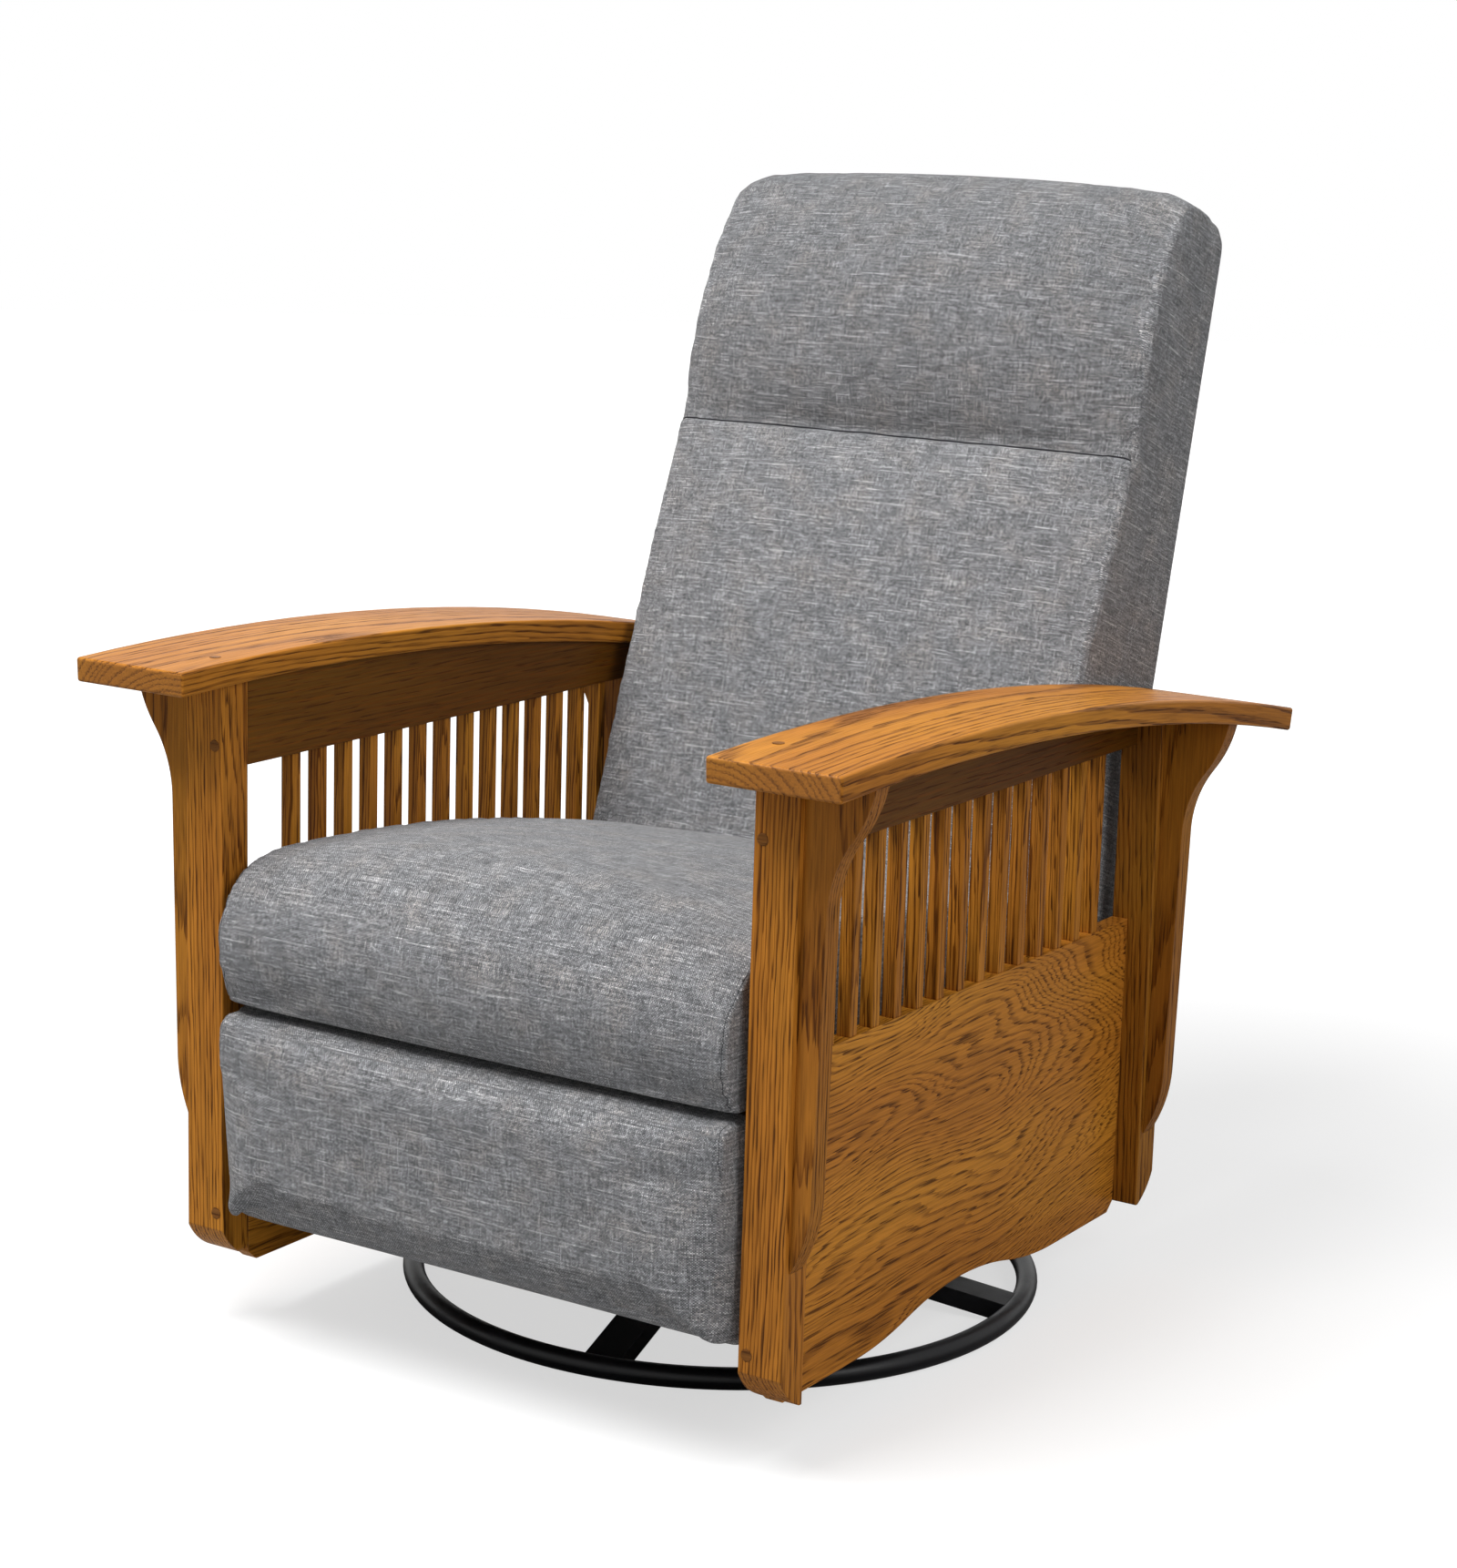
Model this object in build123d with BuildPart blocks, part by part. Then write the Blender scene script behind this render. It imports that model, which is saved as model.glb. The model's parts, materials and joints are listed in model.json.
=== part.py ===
from build123d import *
import os
from math import asin, atan2, cos, degrees, hypot, radians, sin, sqrt

# Mission swivel glider recliner: oak side frames with bowed arms, a floor ring that the
# chair turns and glides on, a folding leg rest, and a back that leans on one pivot.
# Millimetres. Z is up, the chair faces -Y, and the origin is on the floor at the swivel axis.

# Oak side frames
overall_width = 850.0
arm_width = 134.0
arm_thickness = 24.0
arm_front_overhang = 66.5
arm_rear_overhang = 113.5
arm_front_height = 671.0
arm_rear_height = 597.0
arm_bow = 29.5
arm_overhang = 79.0
arm_edge_round = 3.0
post_width = 45.5
post_depth = 38.0
post_floor_gap = 72.0
post_edge_round = 1.5
side_depth = 750.0
side_centre_y = -65.5
foot_cut_height = 32.0
foot_cut_bulge = 4.0
foot_toe = 5.0
foot_corner = 12.0
panel_thickness = 18.0
panel_top = 381.0
panel_floor_gap = 62.0
panel_arch_rise = 24.0
panel_arch_half = 200.0
rail_least_height = 34.0
slat_count = 14
slat_end_gap = 68.55
slat_width = 14.5
slat_depth = 13.0
slat_setback = 1.0
slat_edge_round = 1.0
corbel_thickness = 22.0
corbel_length = 448.0
corbel_reach = 70.0
corbel_stem_top = 25.0
corbel_stem_foot = 20.0
corbel_cove_height = 121.0
corbel_turn_drop = 52.0
corbel_tip_height = 75.0
plug_diameter = 11.0
plug_depth = 8.0
plug_proud = 0.4
plug_clearance = 0.05
arm_plug_inset_x = 16.0
arm_plug_inset_y = 9.0
rail_plug_rise = 23.0
panel_plug_height = 121.0

# Floor base and swivel
ring_radius = 321.0
ring_tube_radius = 11.0
ring_wall = 2.0
spoke_count = 4
spoke_turn = 12.0
spoke_width = 38.0
spoke_height = 19.0
spoke_wall = 2.0
spoke_outer_height = 10.5
hub_size = 200.0
hub_plate = 6.0
hub_underside = 54.0
race_outer = 92.0
race_inner = 62.0
race_height = 7.0
race_gap = 1.0
ball_radius = 3.0
ball_count = 24
ball_clearance = 0.05
spindle_radius = 11.0
spindle_clearance = 0.05
spindle_nut = 32.0
spindle_nut_height = 12.0

# Glider: a turning cradle, four swing links and the platform that hangs on them
turntable_lip = 3.0
turntable_depth = 240.0
turntable_plate = 5.0
steel = 4.0
plate_gap = 1.0
cradle_side_gap = 120.5
cradle_depth = 260.0
cradle_top = 231.0
cradle_pivot_margin = 16.0
glide_pivot_y = 110.0
glide_link_length = 90.0
glide_link_width = 24.0
pin_radius = 5.0
pin_clearance = 0.05
pin_head_radius = 8.5
pin_head = 2.5
platform_rail_height = 46.0
cross_tube = 25.0
cross_tube_y = 185.0
cross_tube_wall = 2.0
end_plate = 70.0
bolt_radius = 4.0
bolt_head_radius = 7.0
bolt_head = 3.0
bolt_bite = 10.0
end_bolt_spread = 44.0
stretcher_thickness = 22.0
stretcher_height = 90.0
stretcher_floor_gap = 110.0

# Seat frame and its slide
side_gap = 0.3
deck_front_y = -392.0
deck_rear_y = 88.0
deck_front_height = 336.4
deck_slope = 5.0
seat_rail_depth = 44.0
seat_rail_width = 24.0
spring_count = 5
spring_wire = 1.9
spring_pitch = 24.0
spring_swing = 40.0
spring_sink = 9.0
clip_length = 16.0
clip_thickness = 2.0
clip_depth = 9.0
mechanism_side_gap = 38.5
slide_height = 231.0
slide_angle = 3.0
slide_angle_height = 34.0
slide_front_y = -392.0
slide_rear_y = 226.0
slide_angle_width = 32.5
glide_pad_height = 3.7
glide_pad_length = 32.0
glide_front_y = -296.0
glide_rear_y = 70.0
flange_width = 26.0
plate_front_y = -345.0

# Leg rest
leg_pivot_y = -320.0
leg_pivot_z = 250.0
leg_link_length = 165.0
leg_link_width = 25.0
leg_board_pivot_z = 228.0
leg_board_pivot_back = 14.0
torque_tube = 20.0
torque_tube_drop = 28.0
leg_pad_front_y = -472.0
leg_pad_thickness = 60.0
leg_pad_bottom = 118.0
leg_pad_height = 217.0
leg_pad_side_gap = 4.5
leg_board_thickness = 15.0
leg_board_margin = 12.0
leg_pad_draw_in = 70.0
leg_pad_steps = 6
leg_pad_corner = 12.0
leg_bracket_height = 80.0
leg_bracket_foot = 25.0

# Back, laid out along its front line: a distance up the line, and a distance behind it
back_foot_y = 137.0
back_foot_z = 426.0
back_lean = 20.2
back_pivot_y = 175.0
back_pivot_z = 345.0
back_side_gap = 16.5
back_pad_foot = -40.0
back_seam = 462.0
back_top = 762.0
back_pad_thickness = 68.0
lower_bulge = 18.0
head_bulge = 40.0
back_depth_foot = 205.0
back_depth_top = 112.0
back_board = 18.0
back_board_inset = 5.0
outer_back_thickness = 8.0
back_rail_width = 42.0
back_rail_depth = 22.0
web_width = 50.0
web_thickness = 1.5
web_count = 5
back_lower_rail = 120.0
back_middle_rail = 430.0
back_upper_rail = 700.0
back_corner = 45.0
back_edge_round = 12.0
back_bulge_foot = 12.0
channel_width = 18.0
channel_depth = 8.0
back_pad_draw_in = 16.0
back_side_share = 0.35
head_brow_drop = 16.0
head_brow_depth = 8.0
head_crest_rise = 9.0
bracket_height = 150.0
bracket_width = 30.0
pivot_boss = 15.0
soft_gap = 0.4

# Seat cushion
seat_side_gap = 5.5
seat_front_y = -450.0
seat_nose = 18.0
seat_nose_height = 400.0
seat_brow_y = -380.0
seat_brow_height = 488.0
seat_rear_drop = 4.0
seat_top_bow = 14.0
seat_nose_bow = 25.0
seat_chin_bow = 4.5
seat_edge_drop = 14.0
seat_rear_crown = 10.0
seat_crown = 24.0
seat_draw_in = 10.0
cushion_steps = 6

# Places worked out from the sizes above
arm_outer = overall_width / 2
arm_inner = arm_outer - arm_width
post_outer = arm_outer - arm_overhang
post_inner = post_outer - post_width
post_mid = (post_outer + post_inner) / 2
side_front_y = side_centre_y - side_depth / 2
side_rear_y = side_centre_y + side_depth / 2
front_post_rear = side_front_y + post_depth
rear_post_front = side_rear_y - post_depth
arm_front_y = side_front_y - arm_front_overhang
arm_rear_y = side_rear_y + arm_rear_overhang
panel_outer = post_inner + panel_thickness
panel_mid = (post_inner + panel_outer) / 2
steel_lap = steel + plate_gap
overrun = steel

# What fits between the side frames keeps its clearance to them
cradle_half_width = post_inner - cradle_side_gap
turntable_width = 2 * (cradle_half_width + turntable_lip)
side_plate_x = post_inner - mechanism_side_gap
slide_inner_x = post_inner - slide_angle_width
leg_pad_half_width = post_inner - leg_pad_side_gap
back_half_width = post_inner - back_side_gap
seat_half_width = post_inner - seat_side_gap

# The arm is one arc: its centre and radius follow from its two ends and its bow
arm_chord = hypot(arm_rear_y - arm_front_y, arm_rear_height - arm_front_height)
arm_radius = arm_chord ** 2 / (8 * arm_bow) + arm_bow / 2
arm_fall = atan2(arm_front_height - arm_rear_height, arm_rear_y - arm_front_y)
arm_centre_y = (arm_front_y + arm_rear_y) / 2 - (arm_radius - arm_bow) * sin(arm_fall)
arm_centre_z = (arm_front_height + arm_rear_height) / 2 - (arm_radius - arm_bow) * cos(arm_fall)
arm_clear_height = max(arm_front_height, arm_rear_height) + arm_bow


def arm_height(y, drop):
    """Height of the arm's arc over y, drop below its top face."""
    return arm_centre_z + sqrt((arm_radius - drop) ** 2 - (y - arm_centre_y) ** 2)


# The level upper rail is lowest where the arm is, and the slats share the opening evenly
rail_ends = (arm_height(front_post_rear, arm_thickness), arm_height(rear_post_front, arm_thickness))
rail_underside = min(rail_ends) - rail_least_height
slat_pitch = (rear_post_front - front_post_rear - 2 * slat_end_gap - slat_depth) / (slat_count - 1)


def arm_end(y, z, drop):
    """The point drop below a top corner of the arm, square to the arc."""
    reach = hypot(y - arm_centre_y, z - arm_centre_z)
    share = (reach - drop) / reach
    return (arm_centre_y + (y - arm_centre_y) * share, arm_centre_z + (z - arm_centre_z) * share)


def save(piece, name):
    """Label a finished piece and write it as its own file."""
    piece.part.label = name
    export_step(piece.part, f"parts/{name}.step")


def both_sides(piece, name):
    """Write a piece made on the +X side, and its mirror image, as two nodes."""
    save(piece, f"left_{name}")
    with BuildPart() as twin:
        add(mirror(piece.part, about=Plane.YZ, mode=Mode.PRIVATE))
    save(twin, f"right_{name}")


def cut_under_arm():
    """Take away what stands above the underside of the arm."""
    front_z = arm_height(arm_front_y, arm_thickness)
    mid_y = (arm_front_y + arm_rear_y) / 2
    rear_z = arm_height(arm_rear_y, arm_thickness)
    with BuildSketch(Plane.YZ) as above:
        with BuildLine():
            ThreePointArc((arm_front_y, front_z), (mid_y, arm_height(mid_y, arm_thickness)),
                          (arm_rear_y, rear_z))
            Polyline((arm_rear_y, rear_z), (arm_rear_y, arm_clear_height), (arm_front_y, arm_clear_height),
                     (arm_front_y, front_z))
        make_face()
    extrude(above.sketch, amount=arm_outer, both=True, mode=Mode.SUBTRACT)


def rod(x0, x1, y, z, radius):
    """A round bar along X."""
    with BuildSketch(Plane.YZ.offset(x0)) as bar:
        with Locations((y, z)):
            Circle(radius)
    extrude(bar.sketch, amount=x1 - x0)


def pin_pair(inner, outer, y, z, inner_head=pin_head):
    """The same pin on both sides, through the plates from inner to outer, with heads outside them."""
    for side in (-1, 1):
        rod(side * inner, side * outer, y, z, pin_radius)
        rod(side * outer, side * (outer + pin_head), y, z, pin_head_radius)
        if inner_head > 0:
            rod(side * (inner - inner_head), side * inner, y, z, pin_head_radius)


def link_pair(inner, start, end, width):
    """The same link on both sides, its inner face at inner."""
    link_bar(inner, *start, *end, width)
    link_bar(-inner - steel, *start, *end, width)


def link_bar(x, y0, z0, y1, z1, width):
    """A flat steel bar between two pins, with round ends and running holes."""
    length = hypot(y1 - y0, z1 - z0)
    with BuildSketch(Plane.YZ.offset(x)) as bar:
        with Locations(((y0 + y1) / 2, (z0 + z1) / 2)):
            SlotOverall(length + width, width, rotation=degrees(atan2(z1 - z0, y1 - y0)))
        with Locations((y0, z0), (y1, z1)):
            Circle(pin_radius + pin_clearance, mode=Mode.SUBTRACT)
    extrude(bar.sketch, amount=steel)


def plug_holes_along_y(face_y, inward, heights):
    """Counterbores for wood plugs in a post's outer face."""
    with BuildSketch(Plane.XZ.offset(-face_y)) as holes:
        with Locations(*[(panel_mid, height) for height in heights]):
            Circle(plug_diameter / 2 + plug_clearance)
    extrude(holes.sketch, amount=-inward * plug_depth, mode=Mode.SUBTRACT)


def arm_plane(x, y, drop):
    """A plane square to the arm's arc at y, drop below its top face."""
    lean = asin((y - arm_centre_y) / arm_radius)
    reach = arm_radius - drop
    return Plane(origin=(x, arm_centre_y + reach * sin(lean), arm_centre_z + reach * cos(lean)),
                 z_dir=(0, sin(lean), cos(lean)))


def deck_height(y):
    """Height of the seat deck over y."""
    return deck_front_height - (y - deck_front_y) * sin(radians(deck_slope)) / cos(radians(deck_slope))


def back_point(up, behind):
    """A point of the back, from its distance up the front line and behind it."""
    lean = radians(back_lean)
    return (back_foot_y + up * sin(lean) + behind * cos(lean),
            back_foot_z + up * cos(lean) - behind * sin(lean))


def back_depth(up):
    """How far the back's rear face lies behind its front line."""
    share = (up - back_pad_foot) / (back_top - back_pad_foot)
    return back_depth_foot + (back_depth_top - back_depth_foot) * share


os.makedirs("parts", exist_ok=True)

# Posts: square to the floor, with a curved cut at the outer foot
front_rail_plug = rail_underside + rail_plug_rise
rear_rail_plug = arm_height(side_rear_y - post_depth / 2, arm_thickness) - plug_diameter * 3 / 2


def make_post(outer_y, outward, rail_plug):
    """One post of the +X side, its outer face at outer_y."""
    mid_y = outer_y - outward * post_depth / 2
    toe_y = outer_y - outward * (post_depth - foot_toe)
    cut_top = post_floor_gap + foot_cut_height
    mid_bow = foot_cut_bulge * sqrt(2) / 2
    bow_point = ((outer_y + toe_y) / 2 + outward * mid_bow, (cut_top + post_floor_gap) / 2 - mid_bow)
    with BuildPart() as post:
        with BuildSketch(Plane.XY.offset(post_floor_gap)):
            with Locations((post_mid, mid_y)):
                Rectangle(post_width, post_depth)
        extrude(amount=arm_clear_height - post_floor_gap)
        cut_under_arm()
        inner_foot = post.edges().filter_by(Axis.Y).group_by(Axis.Z)[0].sort_by(Axis.X)[0]
        fillet(inner_foot, radius=foot_corner)
        fillet(post.edges().filter_by(Axis.Z), radius=post_edge_round)
        with BuildSketch(Plane.YZ.offset(post_inner - overrun)):
            with BuildLine():
                ThreePointArc((outer_y, cut_top), bow_point, (toe_y, post_floor_gap))
                Polyline((toe_y, post_floor_gap), (toe_y, post_floor_gap - overrun),
                         (outer_y + outward * overrun, post_floor_gap - overrun),
                         (outer_y + outward * overrun, cut_top), (outer_y, cut_top))
            make_face()
        extrude(amount=post_width + 2 * overrun, mode=Mode.SUBTRACT)
        plug_holes_along_y(outer_y, -outward, (rail_plug, panel_plug_height))
    return post


both_sides(make_post(side_front_y, -1, front_rail_plug), "front_post")
both_sides(make_post(side_rear_y, 1, rear_rail_plug), "rear_post")


# Corbels: long brackets glued to the outer face of each post
def make_corbel(mid_y):
    """The corbel of a post whose middle is at mid_y."""
    top = arm_height(mid_y, arm_thickness)
    tip = top - corbel_length
    stem_foot = (post_outer + corbel_stem_foot, tip + corbel_tip_height)
    stem_top = (post_outer + corbel_stem_top, top - corbel_cove_height)
    shoulder = (post_outer + corbel_reach, top)
    turn = ((stem_top[0] + shoulder[0]) / 2, top - corbel_turn_drop)
    with BuildPart() as corbel:
        with BuildSketch(Plane.XZ.offset(-mid_y)):
            with BuildLine():
                TangentArc(stem_foot, (post_outer, tip), tangent=(0, -1))
                Line(stem_foot, stem_top)
                cove = TangentArc(stem_top, turn, tangent=(0, 1))
                TangentArc(turn, shoulder, tangent=cove % 1)
                Polyline(shoulder, (shoulder[0], top + arm_thickness), (post_outer, top + arm_thickness),
                         (post_outer, tip))
            make_face()
        extrude(amount=corbel_thickness / 2, both=True)
        cut_under_arm()
    return corbel


both_sides(make_corbel(side_front_y + post_depth / 2), "front_corbel")
both_sides(make_corbel(side_rear_y - post_depth / 2), "rear_corbel")

# Upper rail under the arm
with BuildPart() as upper_rail:
    with BuildSketch(Plane.YZ.offset(post_inner)):
        with Locations(((front_post_rear + rear_post_front) / 2, (rail_underside + arm_clear_height) / 2)):
            Rectangle(rear_post_front - front_post_rear, arm_clear_height - rail_underside)
    extrude(amount=panel_thickness)
    cut_under_arm()
both_sides(upper_rail, "upper_rail")

# Lower panel with its arched lower edge and the holes for the platform bolts
platform_height = cradle_top - cradle_pivot_margin - glide_link_length
end_bolts = [(y + dy, platform_height) for y in (-cross_tube_y, cross_tube_y)
             for dy in (-end_bolt_spread / 2, end_bolt_spread / 2)]
with BuildPart() as lower_panel:
    with BuildSketch(Plane.YZ.offset(post_inner)):
        with BuildLine():
            foot = panel_floor_gap
            crest = panel_floor_gap + panel_arch_rise
            mid = (foot + crest) / 2
            quarter = panel_arch_half / 2
            TangentArc((side_centre_y - panel_arch_half, foot), (side_centre_y - quarter, mid), tangent=(1, 0))
            TangentArc((side_centre_y, crest), (side_centre_y - quarter, mid), tangent=(-1, 0))
            TangentArc((side_centre_y, crest), (side_centre_y + quarter, mid), tangent=(1, 0))
            TangentArc((side_centre_y + panel_arch_half, foot), (side_centre_y + quarter, mid), tangent=(-1, 0))
            Polyline((side_centre_y - panel_arch_half, foot), (front_post_rear + foot_corner, foot),
                     (front_post_rear, post_floor_gap), (front_post_rear, panel_top),
                     (rear_post_front, panel_top), (rear_post_front, post_floor_gap),
                     (rear_post_front - foot_corner, foot), (side_centre_y + panel_arch_half, foot))
        make_face()
    extrude(amount=panel_thickness)
    with BuildSketch(Plane.YZ.offset(post_inner)):
        with Locations(*end_bolts):
            Circle(bolt_radius + pin_clearance)
    extrude(amount=bolt_bite + pin_clearance, mode=Mode.SUBTRACT)
both_sides(lower_panel, "lower_panel")

# Slats between the panel and the upper rail
with BuildPart() as slats:
    with BuildSketch(Plane.XY.offset(panel_top)):
        with Locations((panel_outer - slat_setback - slat_width / 2, side_centre_y)):
            with GridLocations(slat_width, slat_pitch, 1, slat_count):
                Rectangle(slat_width, slat_depth)
    extrude(amount=rail_underside - panel_top)
    fillet(slats.edges().filter_by(Axis.Z), radius=slat_edge_round)
both_sides(slats, "slats")

# Arms: one bowed board a side, square ends, eased edges, plugged over the posts
arm_plug_x = post_inner + arm_plug_inset_x
arm_plug_ys = (side_front_y + arm_plug_inset_y, side_rear_y - arm_plug_inset_y)
with BuildPart() as arm:
    arm_mid_y = (arm_front_y + arm_rear_y) / 2
    front_top = (arm_front_y, arm_front_height)
    rear_top = (arm_rear_y, arm_rear_height)
    front_under = arm_end(arm_front_y, arm_front_height, arm_thickness)
    rear_under = arm_end(arm_rear_y, arm_rear_height, arm_thickness)
    with BuildSketch(Plane.YZ.offset(arm_inner)):
        with BuildLine():
            ThreePointArc(front_top, (arm_mid_y, arm_height(arm_mid_y, 0)), rear_top)
            Line(rear_top, rear_under)
            ThreePointArc(rear_under, (arm_mid_y, arm_height(arm_mid_y, arm_thickness)), front_under)
            Line(front_under, front_top)
        make_face()
    extrude(amount=arm_width)
    fillet(arm.edges(), radius=arm_edge_round)
    for plug_y in arm_plug_ys:
        with BuildSketch(arm_plane(arm_plug_x, plug_y, plug_depth)):
            Circle(plug_diameter / 2 + plug_clearance)
        extrude(amount=arm_thickness, mode=Mode.SUBTRACT)
both_sides(arm, "arm")

# Wood plugs over the screws, a little proud of the oak
with BuildPart() as wood_plugs:
    for side in (-1, 1):
        for plug_y in arm_plug_ys:
            with BuildSketch(arm_plane(side * arm_plug_x, plug_y, plug_depth)):
                Circle(plug_diameter / 2)
            extrude(amount=plug_depth + plug_proud)
        for face_y, inward, rail_plug in ((side_front_y, 1, front_rail_plug), (side_rear_y, -1, rear_rail_plug)):
            with BuildSketch(Plane.XZ.offset(-(face_y + inward * plug_depth))):
                with Locations((side * panel_mid, rail_plug), (side * panel_mid, panel_plug_height)):
                    Circle(plug_diameter / 2)
            extrude(amount=inward * (plug_depth + plug_proud))
save(wood_plugs, "wood_plugs")

# Floor ring: a bent steel tube
with BuildPart() as floor_ring:
    with BuildSketch(Plane.XZ):
        with Locations((ring_radius, ring_tube_radius)):
            Circle(ring_tube_radius)
            Circle(ring_tube_radius - ring_wall, mode=Mode.SUBTRACT)
    revolve(axis=Axis.Z)
save(floor_ring, "floor_ring")

# Spokes: flat steel tubes that rise from the ring to the hub plate
with BuildPart() as spoke:
    bend = hub_size / 2
    inner = hub_size * 3 / 20
    low = spoke_outer_height - spoke_height / 2
    high = hub_underside - spoke_height
    with BuildSketch(Plane.XZ):
        Polygon((ring_radius, low), (ring_radius, low + spoke_height), (bend, hub_underside),
                (inner, hub_underside), (inner, high), (bend, high), align=None)
    extrude(amount=spoke_width / 2, both=True)
    with BuildSketch(Plane.XZ):
        Polygon((ring_radius, low + spoke_wall), (ring_radius, low + spoke_height - spoke_wall),
                (bend, hub_underside - spoke_wall), (inner, hub_underside - spoke_wall),
                (inner, high + spoke_wall), (bend, high + spoke_wall), align=None)
    extrude(amount=spoke_width / 2 - spoke_wall, both=True, mode=Mode.SUBTRACT)
    with BuildSketch(Plane.XZ):
        with Locations((ring_radius, ring_tube_radius)):
            Circle(ring_tube_radius)
    revolve(axis=Axis.Z, mode=Mode.SUBTRACT)
with BuildPart() as spokes:
    with PolarLocations(0, spoke_count, start_angle=spoke_turn):
        add(spoke.part)
save(spokes, "spokes")

# Hub plate, swivel bearing and spindle
hub_top = hub_underside + hub_plate
turntable_floor = hub_top + 2 * race_height + race_gap
turntable_top = turntable_floor + turntable_plate
race_mid = (race_outer + race_inner) / 2
ball_height = hub_top + race_height + race_gap / 2
with BuildPart() as hub:
    with BuildSketch(Plane.XY.offset(hub_underside)):
        RectangleRounded(hub_size, hub_size, hub_size / 10, rotation=spoke_turn)
    extrude(amount=hub_plate)
save(hub, "hub_plate")


def make_race(floor_z):
    """One ring of the swivel bearing, with its ball groove."""
    with BuildPart() as race:
        with BuildSketch(Plane.XY.offset(floor_z)):
            Circle(race_outer)
            Circle(race_inner, mode=Mode.SUBTRACT)
        extrude(amount=race_height)
        with BuildSketch(Plane.XZ):
            with Locations((race_mid, ball_height)):
                Circle(ball_radius + ball_clearance)
        revolve(axis=Axis.Z, mode=Mode.SUBTRACT)
    return race


save(make_race(hub_top), "lower_bearing_ring")
save(make_race(hub_top + race_height + race_gap), "upper_bearing_ring")

with BuildPart() as bearing_balls:
    with Locations((0, 0, ball_height)):
        with PolarLocations(race_mid, ball_count):
            Sphere(ball_radius)
save(bearing_balls, "bearing_balls")

with BuildPart() as spindle:
    with BuildSketch(Plane.XY.offset(hub_top)):
        Circle(spindle_radius)
    extrude(amount=turntable_top + spindle_nut_height + 2 * side_gap - hub_top)
    chamfer(spindle.edges().group_by(Axis.Z)[-1], length=spindle_radius / 8)
save(spindle, "swivel_spindle")

with BuildPart() as spindle_nut_piece:
    with BuildSketch(Plane.XY.offset(turntable_top + side_gap)):
        RegularPolygon(spindle_nut / 2, 6, major_radius=False)
        Circle(spindle_radius + spindle_clearance, mode=Mode.SUBTRACT)
    extrude(amount=spindle_nut_height)
save(spindle_nut_piece, "swivel_nut")

# Turntable plate and the two cradle plates that stand on it
with BuildPart() as turntable:
    with BuildSketch(Plane.XY.offset(turntable_floor)):
        RectangleRounded(turntable_width, turntable_depth, turntable_plate * 2)
        Circle(spindle_radius + spindle_clearance, mode=Mode.SUBTRACT)
    extrude(amount=turntable_plate)
save(turntable, "turntable_plate")

upper_pivot_z = cradle_top - cradle_pivot_margin
lower_pivot_z = upper_pivot_z - glide_link_length
with BuildPart() as cradle:
    with BuildSketch(Plane.YZ.offset(cradle_half_width - steel)):
        horn = cradle_pivot_margin
        saddle = (turntable_top + upper_pivot_z) / 2
        Polygon((-cradle_depth / 2, turntable_top), (cradle_depth / 2, turntable_top),
                (glide_pivot_y + horn, cradle_top), (glide_pivot_y - horn, cradle_top),
                (glide_pivot_y - 3 * horn, saddle), (3 * horn - glide_pivot_y, saddle),
                (horn - glide_pivot_y, cradle_top), (-horn - glide_pivot_y, cradle_top), align=None)
        with Locations((-glide_pivot_y, upper_pivot_z), (glide_pivot_y, upper_pivot_z)):
            Circle(pin_radius + pin_clearance, mode=Mode.SUBTRACT)
    extrude(amount=steel)
with BuildPart() as cradles:
    add(cradle.part)
    add(mirror(cradle.part, about=Plane.YZ, mode=Mode.PRIVATE))
save(cradles, "glider_cradles")

# Swing links of the glider, the platform rails and the pins
link_x = cradle_half_width + plate_gap
rail_x = link_x + steel + plate_gap
with BuildPart() as glide_upper_pins:
    for y in (-glide_pivot_y, glide_pivot_y):
        pin_pair(cradle_half_width - steel, link_x + steel, y, upper_pivot_z)
save(glide_upper_pins, "glide_upper_pins")

with BuildPart() as glide_lower_pins:
    for y in (-glide_pivot_y, glide_pivot_y):
        pin_pair(link_x, rail_x + steel, y, lower_pivot_z, inner_head=0)
save(glide_lower_pins, "glide_lower_pins")

for y, name in ((-glide_pivot_y, "front_swing_links"), (glide_pivot_y, "rear_swing_links")):
    with BuildPart() as swing_links:
        link_pair(link_x, (y, upper_pivot_z), (y, lower_pivot_z), glide_link_width)
    save(swing_links, name)

# Platform under the seat: two rails between two cross tubes, which bolt to the side frames
tube_end = post_inner - steel
rail_half_length = cross_tube_y - cross_tube / 2
with BuildPart() as platform_rails:
    for x in (rail_x, -rail_x - steel):
        with BuildSketch(Plane.YZ.offset(x)):
            with Locations((0, lower_pivot_z)):
                Rectangle(2 * rail_half_length, platform_rail_height)
            with Locations((-glide_pivot_y, lower_pivot_z), (glide_pivot_y, lower_pivot_z)):
                Circle(pin_radius, mode=Mode.SUBTRACT)
        extrude(amount=steel)
save(platform_rails, "platform_rails")

with BuildPart() as cross_tubes:
    with BuildSketch(Plane.YZ.offset(-tube_end)):
        with Locations((-cross_tube_y, lower_pivot_z), (cross_tube_y, lower_pivot_z)):
            RectangleRounded(cross_tube, cross_tube, cross_tube_wall * 2)
            RectangleRounded(cross_tube - 2 * cross_tube_wall, cross_tube - 2 * cross_tube_wall,
                             cross_tube_wall, mode=Mode.SUBTRACT)
    extrude(amount=2 * tube_end)
    for x in (tube_end, -post_inner):
        with BuildSketch(Plane.YZ.offset(x)):
            with Locations((-cross_tube_y, lower_pivot_z), (cross_tube_y, lower_pivot_z)):
                RectangleRounded(end_plate, end_plate, steel)
            with Locations(*end_bolts):
                Circle(bolt_radius + pin_clearance, mode=Mode.SUBTRACT)
        extrude(amount=steel)
save(cross_tubes, "platform_cross_tubes")

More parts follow.
